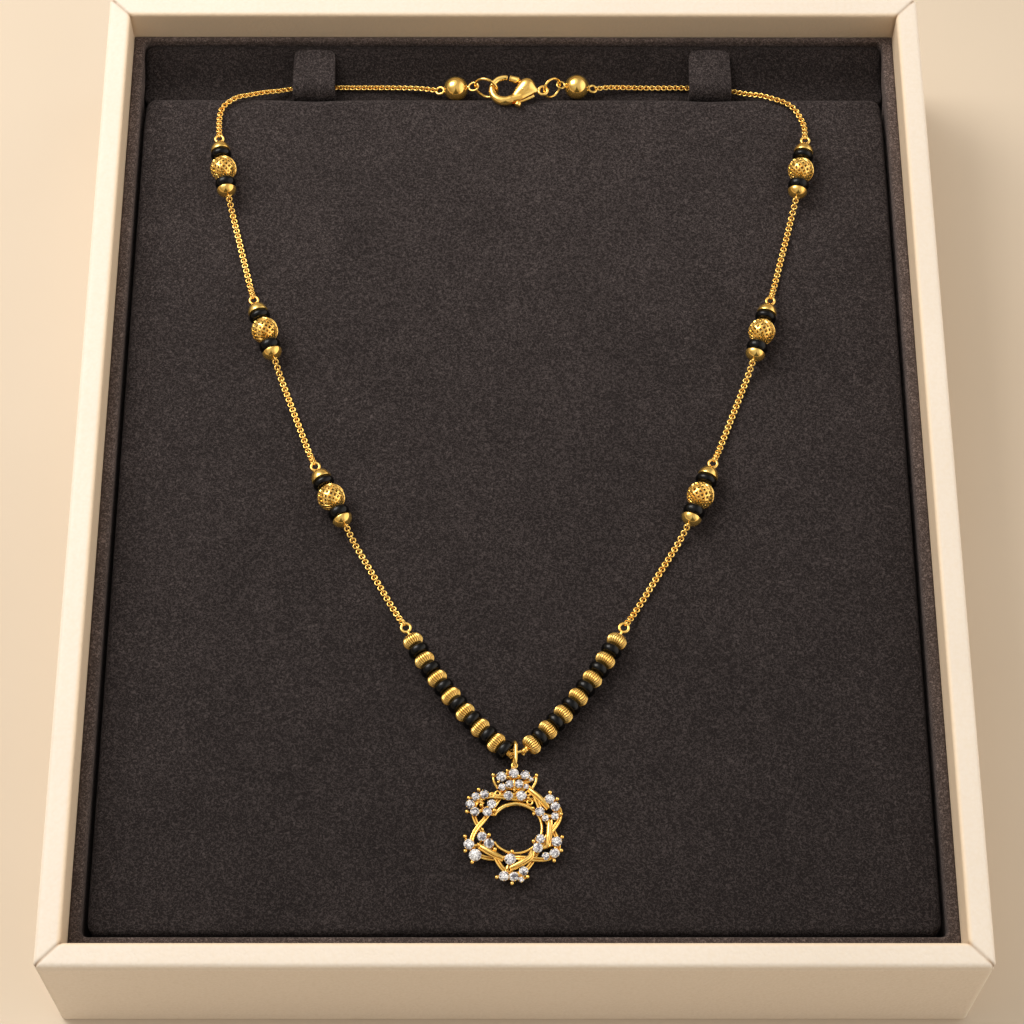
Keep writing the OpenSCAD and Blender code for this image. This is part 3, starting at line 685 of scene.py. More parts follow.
def make_pad():
    """The pad: rings that follow its outline, rising over the rounded edge to a barely crowned top,
    and drawn in a little where the tabs pull on its back edge."""
    low, high = PAD_LOW[:2], PAD_HIGH[:2]
    counts = [2 * c for c in stops_for(low, high)]
    rings = [in_plane(rectangle(low, high, PAD_CORNER, counts)[0], PAD_LOW[2] + up) for up in (0, 6, 12)]
    for inset in PAD_INSETS:
        x, y = rectangle(low + inset, high - inset, max(PAD_CORNER - inset, 0), counts)[0].T
        edge = PAD_EDGE_R + (PAD_BACK_R - PAD_EDGE_R) * smooth_step(high[1] - 9, high[1] - 2, y)
        crown = (PAD_CROWN * ((x / high[0]) ** 4 + (y / high[1]) ** 4) / 2
                 + PAD_LUMP * (1 + lumps(2.1 * x, 2.3 * y)) / 2)
        z = PAD_Z - dropped(inset, edge) - crown * smooth_step(0, 6, inset)
        tuck = sum(np.exp(-((x - t) / TAB_PULL_WIDTH) ** 2) for t in TAB_MIDDLES.values())
        rings.append(np.c_[x, y - TAB_PULL * tuck * smooth_step(high[1] - 8, high[1], y), z])
    pad = suede_piece("suede_pad", rings, PAD_SUEDE, "display_pad")


CUSHION_INSETS = (0, 0.05, 0.16, 0.34, 0.6, 0.95, 1.4, 2, 2.8, 3.8, 5, 6.6)
CUSHION_CORNER = 2.0
CUSHION_LUMP = 0.1
SLOPE_FOOT, SLOPE_TOP = 94.1, 101.8
TROUGH_Z = PAD_Z - 3.2


def make_rear_cushion():
    """Cushion behind the pad: a trough for the chain, then a soft slope up to the back wall."""
    low, high = CUSHION_LOW[:2], CUSHION_HIGH[:2]
    rings = [in_plane(short_rectangle(low, high, CUSHION_CORNER), CUSHION_LOW[2] + up) for up in (0, 8)]
    for inset in CUSHION_INSETS:
        x, y = short_rectangle(low + inset, high - inset, max(CUSHION_CORNER - inset, 0)).T
        top = TROUGH_Z + (CUSHION_HIGH[2] - TROUGH_Z) * smooth_step(SLOPE_FOOT, SLOPE_TOP, y)
        edge = 0.4 + 1.3 * smooth_step(low[1] + 2, low[1] + 9, y)
        swell = CUSHION_LUMP * (lumps(1.7 * x, 3 * y) - 1) * smooth_step(0, 4, inset)
        rings.append(np.c_[x, y, top - dropped(inset, edge) + swell])
    cushion = suede_piece("suede_rear_cushion", rings, SHADED_CUSHION_SUEDE, "rear_cushion")


TAB_THICK, TAB_BEND_R = 1.2, 1.6
TAB_CORNER, TAB_TIP_R = 2.0, 0.6
TAB_TAPER, TAB_SAG = 0.05, 0.16


def make_tab(side):
    """Suede tongue: up from behind the pad, bent back, and flat over the chain."""
    low, high = box_of(f"tab_{side}")
    mid_r = TAB_BEND_R + TAB_THICK / 2
    bend = np.array([low[1] + TAB_BEND_R + TAB_THICK, high[2] - TAB_THICK - TAB_BEND_R])
    upright = [(low[1] + TAB_THICK / 2, z) for z in np.linspace(low[2], bend[1], 5)[:-1]]
    flat = [(y, bend[1] + mid_r) for y in np.linspace(bend[0], high[1] - 0.02, 20)[1:]]
    path = np.array([*upright, *arc(bend, mid_r, 180, 90, 9), *flat])
    along = lengths(path)
    left = along[-1] - along
    past_corner = np.clip(TAB_CORNER - left, 0, None)
    widths = (high[0] - low[0]) / 2 * (1 - TAB_TAPER * along / along[-1]) - TAB_CORNER + np.sqrt(
        np.maximum(TAB_CORNER ** 2 - past_corner ** 2, 0.02))
    depths = TAB_THICK / 2 * np.sqrt(np.clip(1 - np.clip(1 - left / TAB_TIP_R, 0, 1) ** 2, 0.03, 1))
    ahead = directions(path)
    normal = np.c_[-ahead[:, 1], ahead[:, 0]]
    a = round_circle(40)
    across = np.sign(np.cos(a)) * np.abs(np.cos(a)) ** 0.22
    out = np.sign(np.sin(a)) * np.abs(np.sin(a)) ** 0.5
    rings = []
    for at, w, d, n, s in zip(path, widths, depths, normal, along / along[-1]):
        sag = -TAB_SAG * across ** 2 * smooth_step(0.3, 0.6, s)
        rings.append(np.c_[TAB_MIDDLES[side] + w * across, at + (d * out + sag)[:, None] * n])
    suede_piece(f"suede_tab_{side}", rings, PAD_SUEDE, f"tab_{side}")


# Necklace: places along its route, repeated from the CAD source. A height is above the pad, and
# an end of a station is -1 behind its ball and 1 ahead of it, towards the front.

EYE_REACHES = {-1: 7.42, 1: 6.55}
EYE_R, EYE_WIRE = 0.86, 0.3
BALL_R = 2.85
LEANS = {"left": (10, 19, 26), "right": (-10, -16, -21)}
END_BALLS = {"left": (-12.7, 92.5, -0.6), "right": (14, 93, -0.6)}
END_BALL_R = 2.68
END_EYE_REACH = 3.6
END_AXIS_RISE = math.radians(12)
INNER_REACH = {"left": 4.0, "right": 3.6}
INNER_EYE_R = {"left": 1.05, "right": 0.85}
INNER_EYE_WIRE = 0.24
CORNER_ROUTES = {
    "left": [(-21, 93.5, -1.9), (-27, 94, -2.4), (-35, 94, -2.4), (-44, 94, -2.4), (-49, 93.5, -2.2),
             (-52, 92.5, -1.5), (-55, 91.5, -0.6), (-58, 90.3, 0.2), (-60.5, 89.3, 0.8), (-62.5, 88, 0.8),
             (-63.8, 86.5, 0.8), (-64.3, 84.3, 0.9), (-64.3, 81.5, 1.4)],
    "right": [(21.5, 93.8, -1.9), (30, 94, -2.4), (38, 94, -2.4), (44, 93.5, -2.4), (48.3, 93, -2.2),
              (51.2, 91.7, -1.3), (54.4, 90.3, 0.1), (57, 89, 0.8), (59.7, 87.9, 0.8), (61.6, 86.3, 0.8),
              (62.8, 83.9, 0.9), (63.5, 81.2, 1.4)]}


def over_pad(p):
    return np.array([p[0], p[1], PAD_Z + p[2]], float)


def station_ball(side, number):
    return middle_of(f"station_{side}_{number}_ball")


def station_axis(side, number):
    """The way along a station's pin, towards the front."""
    lean = math.radians(LEANS[side][number - 1])
    return np.array([math.sin(lean), -math.cos(lean), 0])


def station_eye(side, number, end):
    return station_ball(side, number) + end * EYE_REACHES[end] * station_axis(side, number)


# The beaded front: an arc a side. Stops are each gold bead's place along it.

STRAND_R = 84
STRAND_MIDDLES = {"left": (54, -1.8), "right": (-53.7, -1.8)}
STRAND_START = 208
STRAND_RISE = 2.15
STRAND_EYE_AHEAD = 2.95
STRAND_TAIL = 1.3
GOLD_STOPS = {"left": (0.3, 5.0, 9.7, 14.3, 18.75, 23.15, 27.55),
              "right": (0.3, 5.0, 9.8, 14.55, 19.2, 23.7, 28.1)}
HALF_PITCH = 2.2
BLACK_COUNTS = {"left": 7, "right": 6}


def strand_place(side, along):
    """A place on the beaded front, and the way along it, by the distance from its start."""
    a = math.radians(STRAND_START) + along / STRAND_R
    flip = -SIDES[side]
    x, y = np.array(STRAND_MIDDLES[side]) + STRAND_R * np.array([flip * math.cos(a), math.sin(a)])
    return np.array([x, y, PAD_Z + STRAND_RISE]), np.array([-flip * math.sin(a), math.cos(a), 0])


# Chain

LINK_PITCH = 0.65
LINK_LONG, LINK_WIDE, LINK_WIRE = 1.27, 1.42, 0.165
LINK_BLUNT = 0.86
CHAIN_REST = 0.73
EYE_HOLD = 0.98
CHAIN_FALL = 5
CHAIN_TWISTS = (6, 4, 4, 3)


def link():
    """One oval link of round wire, its loop in the XZ plane."""
    a = round_circle(16)
    loop = [(size / 2 - LINK_WIRE) * np.sign(wave) * np.abs(wave) ** LINK_BLUNT
            for size, wave in ((LINK_LONG, np.cos(a)), (LINK_WIDE, np.sin(a)))]
    points, faces = tube(np.c_[loop[0], 0 * a, loop[1]], LINK_WIRE, 8, closed=True)
    return points, np.array(faces)


LINK = link()


def linked(path, twist):
    """Links threaded along a path, every second one on its side, and all turned by up to a twist
    in degrees halfway."""
    count = 2 * round(lengths(path)[-1] / LINK_PITCH / 2) + 1
    at = resampled(path, count)
    ahead = directions(at)
    across, over = crossways(ahead)
    rolls = twist * np.sin(math.pi * np.linspace(0, 1, count)) + 90 * (np.arange(count) % 2)
    turn = np.radians(rolls)[:, None]
    y = across * np.cos(turn) + over * np.sin(turn)
    z = over * np.cos(turn) - across * np.sin(turn)
    shape_points, shape_faces = LINK
    points = at[:, None] + np.einsum("pk,nkj->npj", shape_points, np.stack([ahead, y, z], axis=1))
    faces = (np.arange(count)[:, None, None] * len(shape_points) + shape_faces).reshape(-1, 4)
    return points.reshape(-1, 3), faces.tolist()


def settled(a, b):
    """A chain's path between two eyes: straight in plan, coming down to lie on the pad."""
    run = np.linalg.norm((b - a)[:2])
    along = np.linspace(EYE_HOLD, run - EYE_HOLD, 60)
    fall = np.clip(1 - (np.minimum(along, run - along) - EYE_HOLD) / CHAIN_FALL, 0, None) ** 2
    low = PAD_Z + CHAIN_REST
    high = np.where(along < run / 2, a[2], b[2])
    share = (along / run)[:, None]
    return np.c_[(a + (b - a) * share)[:, :2], low + (high - low) * fall]


def end_ball_eye(side):
    x, y, z = over_pad(END_BALLS[side])
    out = SIDES[side] * END_EYE_REACH * math.cos(END_AXIS_RISE)
    return np.array([x + out, y, z - END_EYE_REACH * math.sin(END_AXIS_RISE)])


def make_chains():
    """Four lengths a side: round the pad's back corner, then from eye to eye down to the front."""
    for side in SIDES:
        start, stop = end_ball_eye(side), station_eye(side, 1, -1)
        route = [over_pad(p) for p in CORNER_ROUTES[side]]
        first = start + EYE_HOLD * unit(route[0] - start)
        last = stop + EYE_HOLD * unit(route[-1] - stop)
        paths = [smoothed([first, *route, last], 240)]
        strand_eye, _ = strand_place(side, -STRAND_EYE_AHEAD)
        eyes = [station_eye(side, 2, -1), station_eye(side, 3, -1), strand_eye]
        paths += [settled(station_eye(side, n, 1), eye) for n, eye in enumerate(eyes, 1)]
        for n, (path, twist) in enumerate(zip(paths, CHAIN_TWISTS), 1):
            gold_piece(f"fine_chain_{side}_{n}", [linked(path, twist)], f"chain_{side}_{n}", sharp=50)


# Stations: on a pin, a filigree ball between two black beads and two caps. Poles are how far from
# the ball's middle its beads start, and each stack lies a little off its CAD place.

LATTICE_COUNT = 13
LATTICE_WIRE = 0.25
LATTICE_TURN = 1.05
LATTICE_TOP = math.radians(74)
LATTICE_FLAT = 0.94
COLLAR_R, COLLAR_WIRE, COLLAR_AT = 0.86, 0.2, 0.9
DARK_SHARE, DARK_TOP = 0.84, 1.25
CAP_R = 2.1
BEAD_R = 2.26
BORE_R = 0.48
BEAD_LONGS = {-1: 1.8, 1: 2.7}
CAP_TALLS = {-1: 2.45, 1: 1.85}
POLES = {-1: BALL_R - 0.2, 1: BALL_R - 0.3}
STACK_AHEAD, STACK_RISE = 0.4, 0.15
STACK_ASIDE = {("left", 1): -0.15}
STEM_R, PIN_R = 0.4, 0.38


def lattice_ball():
    """Filigree ball round Z: two sets of slanting wires over a dark shell of painted shade, with a
    collar at each pole. Its parts come with their skins."""
    parts = []
    for lean in (-1, 1):
        for k in range(LATTICE_COUNT):
            lift = np.linspace(-LATTICE_TOP, LATTICE_TOP, 26)
            turn = lean * LATTICE_TURN * np.arctanh(np.sin(lift) * LATTICE_FLAT)
            turn = turn + math.tau * (k + 0.25 * (lean + 1)) / LATTICE_COUNT
            r = BALL_R - LATTICE_WIRE - 0.03 * (lean + 1)
            path = r * np.c_[np.cos(lift) * np.cos(turn), np.cos(lift) * np.sin(turn), np.sin(lift)]
            parts.append((tube(path, LATTICE_WIRE, 6), 0))
    for end in (-1, 1):
        parts.append((placed(ring(COLLAR_R, COLLAR_WIRE, 28, 10), (0, 0, end * COLLAR_AT * BALL_R)), 0))
    a = np.linspace(-DARK_TOP, DARK_TOP, 15)
    dark = DARK_SHARE * BALL_R * np.c_[np.cos(a), np.sin(a)]
    parts.append((lathe([(BORE_R, dark[0, 1]), *dark, (BORE_R, dark[-1, 1])], 32, closed=True), 1))
    return parts


def cap(tall):
    """Domed cap round Z, wide end down: a rolled rim, a smooth dome and a flat underside."""
    dome = arc((0, 0), 1, 8, 84, 13) * (CAP_R, tall)
    return lathe([(0, 0), (CAP_R - 0.16, 0), (CAP_R - 0.04, 0.05), (CAP_R, 0.16), *dome, (0, tall)])


def bead(radius, length, full=1.0):
    """Glossy round-edged bead round Z, with its bore. Below 1, full makes its sides squarer."""
    round_r = length / 2
    side = [(radius - round_r + round_r * max(x, 0) ** full, round_r * y)
            for x, y in arc((0, 0), 1, -90, 90, 17)]
    side[0], side[-1] = (radius - round_r, -round_r), (radius - round_r, round_r)
    return lathe([(BORE_R, -round_r + 0.03), *side, (BORE_R, round_r - 0.03)], 44, closed=True)


LATTICE = lattice_ball()


def make_station(side, n):
    """One station: its pin with two caps, stems and eyes, its ball, and its two beads."""
    axis = station_axis(side, n)
    middle = station_ball(side, n) + STACK_AHEAD * axis + (STACK_ASIDE.get((side, n), 0), 0, STACK_RISE)
    feet = {end: POLES[end] + BEAD_LONGS[end] + 0.03 for end in (-1, 1)}
    metal, beads = [], []
    for end, long in BEAD_LONGS.items():
        way, eye = end * axis, station_eye(side, n, end)
        metal += [placed(cap(CAP_TALLS[end]), middle + feet[end] * way, way),
                  rod(middle + (feet[end] + 0.5) * way, eye - EYE_R * way, STEM_R, 14),
                  placed(ring(EYE_R, EYE_WIRE, 40, 14), eye)]
        beads.append(placed(bead(BEAD_R, long), middle + (POLES[end] + long / 2) * way, way))
    metal.append(rod(middle - feet[-1] * axis, middle + feet[1] * axis, PIN_R))
    lattice = [(*placed(made, middle, axis, roll=37 * n), skin) for made, skin in LATTICE]
    name = f"station_{side}_{n}"
    gold_piece(f"{name}_caps_and_eyes", metal, f"{name}_frame")
    gold_piece(f"{name}_filigree", lattice, f"{name}_ball", skins=[GOLD, SHADOW_GOLD])
    black_piece(f"{name}_black_beads", beads, f"{name}_beads")


# Beaded front

GOLD_R, GOLD_LONG = 2.05, 2.6
GOLD_ROUND, GOLD_FACE = 1.15, 0.8
STRAND_BLACK_R, STRAND_BLACK_LONG = 2.1, 1.85
FLUTES, FLUTE_DEPTH = 24, 0.10
FLUTE_STEPS = FLUTES * 8
FLUTING = np.abs(np.cos(FLUTES * round_circle(FLUTE_STEPS) / 2)) ** 6
STRAND_WIRE, STRAND_EYE_R = 0.3, 0.92
COIL_R, COIL_WIRE, COIL_TURNS = 0.46, 0.17, 4


def fluted_bead():
    """Barrel bead round Z, fluted from end to end, with a flat face round each bore."""
    half = GOLD_LONG / 2
    side = (GOLD_R - GOLD_ROUND, 0) + arc((0, 0), 1, -90, 90, 13) * (GOLD_ROUND, half * 0.98)
    profile = [(BORE_R, -half), (GOLD_FACE, -half), *side, (GOLD_FACE, half), (BORE_R, half)]
    return lathe(profile, FLUTE_STEPS, closed=True, sunk=FLUTE_DEPTH * FLUTING)


FLUTED = fluted_bead()
# Painted shade in the flutes' grooves, carried by the mark
FLUTE_PAINTED_SHADE = np.tile(0.8 * FLUTING, len(FLUTED[0]) // FLUTE_STEPS)
STRAND_BLACK = bead(STRAND_BLACK_R, STRAND_BLACK_LONG, full=0.62)


def coil(a, b):
    """Wire wound round a stretch of the strand."""
    t = np.linspace(0, 1, COIL_TURNS * 18)[:, None]
    across, over = crossways(unit(b - a))
    spin = t * COIL_TURNS * math.tau
    return tube(a + (b - a) * t + COIL_R * (np.cos(spin) * across + np.sin(spin) * over), COIL_WIRE, 8)


def strand_end(side):
    """How far along its arc a side's wire ends, past its last bead."""
    past = HALF_PITCH if side == "left" else STRAND_BLACK_LONG / 4
    return GOLD_STOPS[side][-1] + past + STRAND_TAIL


def make_strand():
    """The front's wire with an eye and a coil a side, its gold beads, and black ones between them."""
    wire = []
    for side in SIDES:
        stop, golds = strand_end(side), GOLD_STOPS[side]
        route = [strand_place(side, s)[0] for s in np.linspace(1 - STRAND_EYE_AHEAD, stop, 60)]
        eye, _ = strand_place(side, -STRAND_EYE_AHEAD)
        wire += [tube(route, STRAND_WIRE), placed(ring(STRAND_EYE_R, STRAND_WIRE, 44, 14), eye),
                 coil(strand_place(side, stop - 0.55)[0], strand_place(side, stop + 0.75)[0])]
        stops = (*golds, golds[-1] + 2 * HALF_PITCH)
        blacks = [placed(STRAND_BLACK, *strand_place(side, (stops[i] + stops[i + 1]) / 2))
                  for i in range(BLACK_COUNTS[side])]
        black_piece(f"strand_{side}_black_beads", blacks, f"strand_black_{side}")
        for i, along in enumerate(golds):
            one = placed(FLUTED, *strand_place(side, along), roll=11 * i)
            gold_piece(f"fluted_bead_{side}_{i + 1}", [(*one, 0, FLUTE_PAINTED_SHADE)], f"gold_bead_{side}_{i + 1}")
    a, b = (strand_place(side, strand_end(side))[0] for side in SIDES)
    wire.append(rod(a, b, STRAND_WIRE, count=12))
    gold_piece("strand_wire_and_eyes", wire, "strand_wire")


# Clasp run. The clasp is built flat in its own plane, x towards its tail and y towards the back,
# then tilted about x. Balls of a hull are (x, y, radius).

CLASP_AT = (-0.3, 90.7)
CLASP_RISE = 1.3
CLASP_TILT = math.radians(8)
PIVOT = np.array([2.4, -0.1])
PIN_REACH = 1.22
HOOK_MIDDLE = np.array([-1.55, 0.2])
HOOK_R = 2.9
HOOK_STOPS, HOOK_THICK, HOOK_DRAWN_IN = (0, 0.45, 0.8, 1), (0.64, 0.72, 1.02, 1.06), (0, 0, 0.17, 0.2)
HOOK_ROOT = (1.5, -1.75, 1.0)
SPINE = [(0.15, -2.2, 0.7), (1.9, -1.5, 1.05), (4.9, -0.05, 0.66)]
BELLY = [(0.55, -1.75, 0.98), (3.22, 1.08, 1.93), (4.9, 0.1, 0.78)]
BELLY_FLAT = 0.84
NECK, NECK_R = [(4.6, 0), (5.2, 0), (5.95, 0)], (0.62, 0.55, 0.42)
TAIL_RING_AT, TAIL_RING_R, TAIL_RING_WIRE = (6.8, 0, 0), 0.95, 0.36
PIN_CAP = [(0, 0.16), (0.22, 0.14), (0.36, 0.02), (0.38, -0.3), (0, -0.3)]
PIN_CORE = [(0, -1.1), (0.36, -1.1), (0.36, 1.1), (0, 1.1)]
SLOT_OUTLINE = [(0.1, -3.4), (4.95, -3.4), (4.95, -0.1), (3.4, -0.1), (3.4, 3.2), (0.1, 3.2)]
SLOT_THICK = 0.94
MELT_CELL, MELT_PASSES = 0.085, 36


def in_clasp(made):
    """From the clasp's own plane to its place."""
    points, faces = made
    c, s = math.cos(CLASP_TILT), math.sin(CLASP_TILT)
    turn = np.array([[1, 0, 0], [0, c, s], [0, -s, c]])
    return points @ turn + (CLASP_AT[0], CLASP_AT[1], PAD_Z + CLASP_RISE), faces


def melted(parts, cutter):
    """Overlapping closed parts as one smooth skin, less a cutter's space."""
    body, cutter = (new_object("working", mesh_of("working", made)) for made in (parts, [cutter]))
    remesh = body.modifiers.new("remesh", "REMESH")
    remesh.mode = "VOXEL"
    remesh.voxel_size = MELT_CELL
    smooth = body.modifiers.new("smooth", "SMOOTH")
    smooth.iterations = MELT_PASSES
    boolean = body.modifiers.new("cut", "BOOLEAN")
    boolean.object = cutter
    boolean.solver = "EXACT"
    bpy.context.view_layer.update()
    result = body.evaluated_get(bpy.context.evaluated_depsgraph_get()).to_mesh()
    points = np.array([v.co for v in result.vertices])
    faces = [list(p.vertices) for p in result.polygons]
    for spare in (body, cutter):
        bpy.data.objects.remove(spare)
    return points, faces


def hull(balls, flat=1.0):
    """Skin stretched over several balls, flattened across the plane."""
    work = bmesh.new()
    for x, y, r in balls:
        for p in ball(r, 32)[0]:
            work.verts.new((p[0] + x, p[1] + y, p[2] * flat))
    bmesh.ops.convex_hull(work, input=work.verts)
    bmesh.ops.delete(work, geom=[v for v in work.verts if not v.link_faces], context="VERTS")
    work.verts.index_update()
    points = np.array([v.co for v in work.verts])
    faces = [[v.index for v in f.verts] for f in work.faces]
    work.free()
    return points, faces


def make_clasp():
    """A round hook, a full belly and a neck as one skin slotted for the lever, a pin and a ring."""
    share = np.linspace(0, 1, 60)
    drawn_in = np.interp(share, HOOK_STOPS, HOOK_DRAWN_IN)
    flat = arc(HOOK_MIDDLE, HOOK_R, 78, 300, 60)
    hook = in_plane(HOOK_MIDDLE + (flat - HOOK_MIDDLE) * (1 - drawn_in / HOOK_R)[:, None])
    body = [tube(hook, np.interp(share, HOOK_STOPS, HOOK_THICK), 20), hull([(*hook[-1][:2], 1.0), HOOK_ROOT]),
            hull(SPINE), hull(BELLY, BELLY_FLAT), tube(in_plane(NECK), NECK_R, 18)]
    slot = stack([in_plane(SLOT_OUTLINE, z) for z in (-SLOT_THICK / 2, SLOT_THICK / 2)])
    parts = [melted(body, slot)]
    parts += [placed(lathe(PIN_CAP, 24), (*PIVOT, face * PIN_REACH), (0, 0, face)) for face in (-1, 1)]
    parts += [placed(lathe(PIN_CORE, 20), (*PIVOT, 0)),
              placed(ring(TAIL_RING_R, TAIL_RING_WIRE, 44), TAIL_RING_AT)]
    gold_piece("clasp_polished_body", [in_clasp(part) for part in parts], "clasp_body", sharp=55)


SEAM_REACH = 4.21
SLEEVE_LONG = 2.15
SLEEVE_STOPS, SLEEVE_R = (0, 0.12, 0.85, 0.9, 1), (0.6, 0.88, 0.72, 0.76, 0.76)
LEVER_ARM, LEVER_ARM_R = [(2.4, -0.1), (2.1, 1.2), (1.5, 2.2), (0.6, 2.62), (-0.4, 2.94), (-1.2, 3.1)], 0.36
KNOB_ARM = [(2.2, -0.6), (1.85, -2.0), (1.35, -3.0), (1.12, -3.5)]
KNOB, KNOB_R = [(1.5, -2.95), (1.22, -3.4), (1.02, -3.78)], 0.74
THUMB_BAR = [(1.35, -2.75), (2.6, -2.35), (4.2, -1.6), (4.8, -1.25)]
THUMB_WIRE = 0.34
HUB = [(0.42, -0.4), (0.72, -0.4), (0.75, -0.36), (0.75, 0.36), (0.72, 0.4), (0.42, 0.4)]


def make_lever():
    """The spring lever: a thin arm inside the slot, as far as the seam where it meets the hook, with
    a flared sleeve there, and a thumb knob on an arm and a bar."""
    arm = smoothed(in_plane(LEVER_ARM), 60)
    arm = arm[np.linalg.norm(arm[:, :2] - PIVOT, axis=1) < SEAM_REACH]
    sleeve = arm[np.linalg.norm(arm[:, :2] - arm[-1, :2], axis=1) < SLEEVE_LONG]
    sleeve_r = np.interp(np.linspace(0, 1, len(sleeve)), SLEEVE_STOPS, SLEEVE_R)
    knob_r = KNOB_R * np.sqrt(np.clip(1 - np.linspace(-0.75, 0.98, 12) ** 6, 0.05, 1))
    parts = [placed(lathe(HUB, 36, closed=True), (*PIVOT, 0)), tube(arm, LEVER_ARM_R, 14),
             tube(sleeve, sleeve_r, 24), bent(in_plane(KNOB_ARM), 24, THUMB_WIRE, 14),
             bent(in_plane(KNOB), 12, knob_r, 18), bent(in_plane(THUMB_BAR), 20, THUMB_WIRE, 14)]
    gold_piece("clasp_spring_lever", [in_clasp(part) for part in parts], "clasp_lever",
               body="lever", sharp=50)


END_LIP = [(0.42, 0.93), (0.62, 0.965)]


def make_end_ball(side):
    """Plain ball on its tilted axis, with a lip at each end, and an eye for the chain and the clasp."""
    at = over_pad(END_BALLS[side])
    flip, c, s = SIDES[side], math.cos(END_AXIS_RISE), math.sin(END_AXIS_RISE)
    out, upright = np.array([flip * c, 0, -s]), np.array([flip * s, 0, c])
    profile = [*((r, -END_BALL_R * z) for r, z in END_LIP), *arc((0, 0), END_BALL_R, -79, 79, 40),
               *((r, END_BALL_R * z) for r, z in END_LIP[::-1])]
    parts = [placed(lathe(profile, 72, closed=True), at, out)]
    for reach, eye_r, wire, way in ((END_EYE_REACH, EYE_R, EYE_WIRE, 1),
                                    (INNER_REACH[side], INNER_EYE_R[side], INNER_EYE_WIRE, -1)):
        parts += [rod(at + way * 2.2 * out, at + way * (reach - eye_r) * out, STEM_R, 16),
                  placed(ring(eye_r, wire, 44), at + way * reach * out, upright)]
    gold_piece(f"end_ball_{side}_polished", parts, f"end_ball_{side}")


# Each jump ring: the far ends of its run, its roll in degrees and its wire
JUMP_RINGS = {"left": ((-8.37, 92.5, 0.27), (-3.6, 91, 1.25), 77, 0.33),
              "right": ((6.74, 90.7, 1.3), (10.25, 93, 0.15), 68, 0.28)}
JUMP_GAP, JUMP_GAP_AT = 1.6, 70


def make_jump_ring(side):
    first, last, roll, wire = JUMP_RINGS[side]
    a, b = over_pad(first), over_pad(last)
    across, over = crossways(unit(b - a))
    turn = math.radians(roll)
    normal = math.cos(turn) * over - math.sin(turn) * across
    loop = ring(np.linalg.norm(b - a) / 2, wire, 72, 18, gap=JUMP_GAP)
    gold_piece(f"jump_ring_{side}_wire", [placed(loop, (a + b) / 2, normal, roll=JUMP_GAP_AT)],
               f"jump_ring_{side}")


# Pendant: places from the middle of its opening, (x, y) and for a stone its diameter. Tips and
# dots are the balls on stems, loops are small rings, and bars are the polished strips.

PENDANT = np.array([0.3, -80.1])
RING_R = 5.0
RING_STOPS = (-145, 146)
HOLE_STOPS, HOLE_WIRES = (0, 0.58, 0.7, 0.9, 1), (0.28, 0.28, 0.42, 0.42, 0.3)
HOLE_ENDS = (("lower_left", 1), ("upper_left", 5))
WEAVE_R, WEAVE_SWING, WEAVE_SKEW, WEAVE_PHASE = 7.1, 1.6, 0.5, 3
WEAVE_RISE, WEAVE_LIFT = 0.97, 0.36
THIN_WIRE, WIRE_PAIR = 0.24, 0.25
WEB_RISE, WEB_R = 0.85, 0.42
CUP_TOP = 1.5
STONE_SEAT, STONE_TALL = 1.59, 0.4
CLAW_R = 0.12
TIP_RISE, TIP_R, DOT_R, STEM_SAG = 1.75, 0.4, 0.29, 0.12
BAR_RISE, BAR_SWELL = 1.5, 0.25
BAR_R, BAR_BELLY = 0.26, 0.24
BAR_WIRE, BAR_WIRE_OFF = 0.2, 0.52
LOOP_RISE, LOOP_WIRE = 1.35, 0.19
ARM_RISE, ARM_R, ARM_BOW, ARM_LIFT = 1.35, 0.27, 0.25, 0.15
BAIL_Y, BAIL_RISE, BAIL_BEND, BAIL_STRAIGHT = -65.4, 1.95, 1.37, 1.15
BAIL_WIRE = 0.34
BAIL_TURN = math.radians(11)
BAIL_ASIDE = -0.25
HANG_EYE_Y, HANG_EYE_R, HANG_WIRE, POST_R = -67.6, 0.5, 0.2, 0.26
POST_PLACES = ((-0.4, 12.0), (-0.4, 11.2))
STONES = {
    "crown": [(-0.4, 10.9, 1.9), (-0.45, 12.2, 0.75), (-2.8, 10.2, 1.95), (1.8, 10.55, 1.8),
              (2.95, 9.75, 1.0), (-1.2, 8.7, 1.6), (0.65, 8.7, 1.65), (-2.65, 8.1, 1.5),
              (2.0, 8.2, 1.1), (-1.45, 6.3, 1.8), (1.05, 6.3, 1.95)],
    "upper_left": [(-7.75, 6.15, 1.6), (-6.1, 6.6, 1.7), (-8.8, 4.55, 1.75), (-7.9, 3.05, 1.75),
                   (-4.65, 4.6, 1.8), (-5.5, 3.0, 1.8)],
    "upper_right": [(6.5, 5.6, 1.9), (7.6, 4.05, 1.85), (7.5, 2.15, 1.5), (4.6, 3.05, 1.85),
                    (5.65, 1.8, 1.35)],
    "lower_right": [(4.7, -2.4, 1.8), (4.15, -4.25, 1.95), (7.8, -3.0, 2.0), (7.4, -5.3, 1.9),
                    (5.7, -5.9, 1.5)],
    "lower_left": [(-6.5, -2.0, 1.85), (-5.15, -3.4, 1.95), (-9.0, -3.55, 2.05), (-7.8, -5.75, 2.4)],
    "bottom": [(-1.1, -6.55, 2.2), (-2.3, -9.9, 1.95), (-0.4, -10.0, 1.85), (1.45, -8.9, 1.75),
               (1.0, -10.55, 1.15)]}
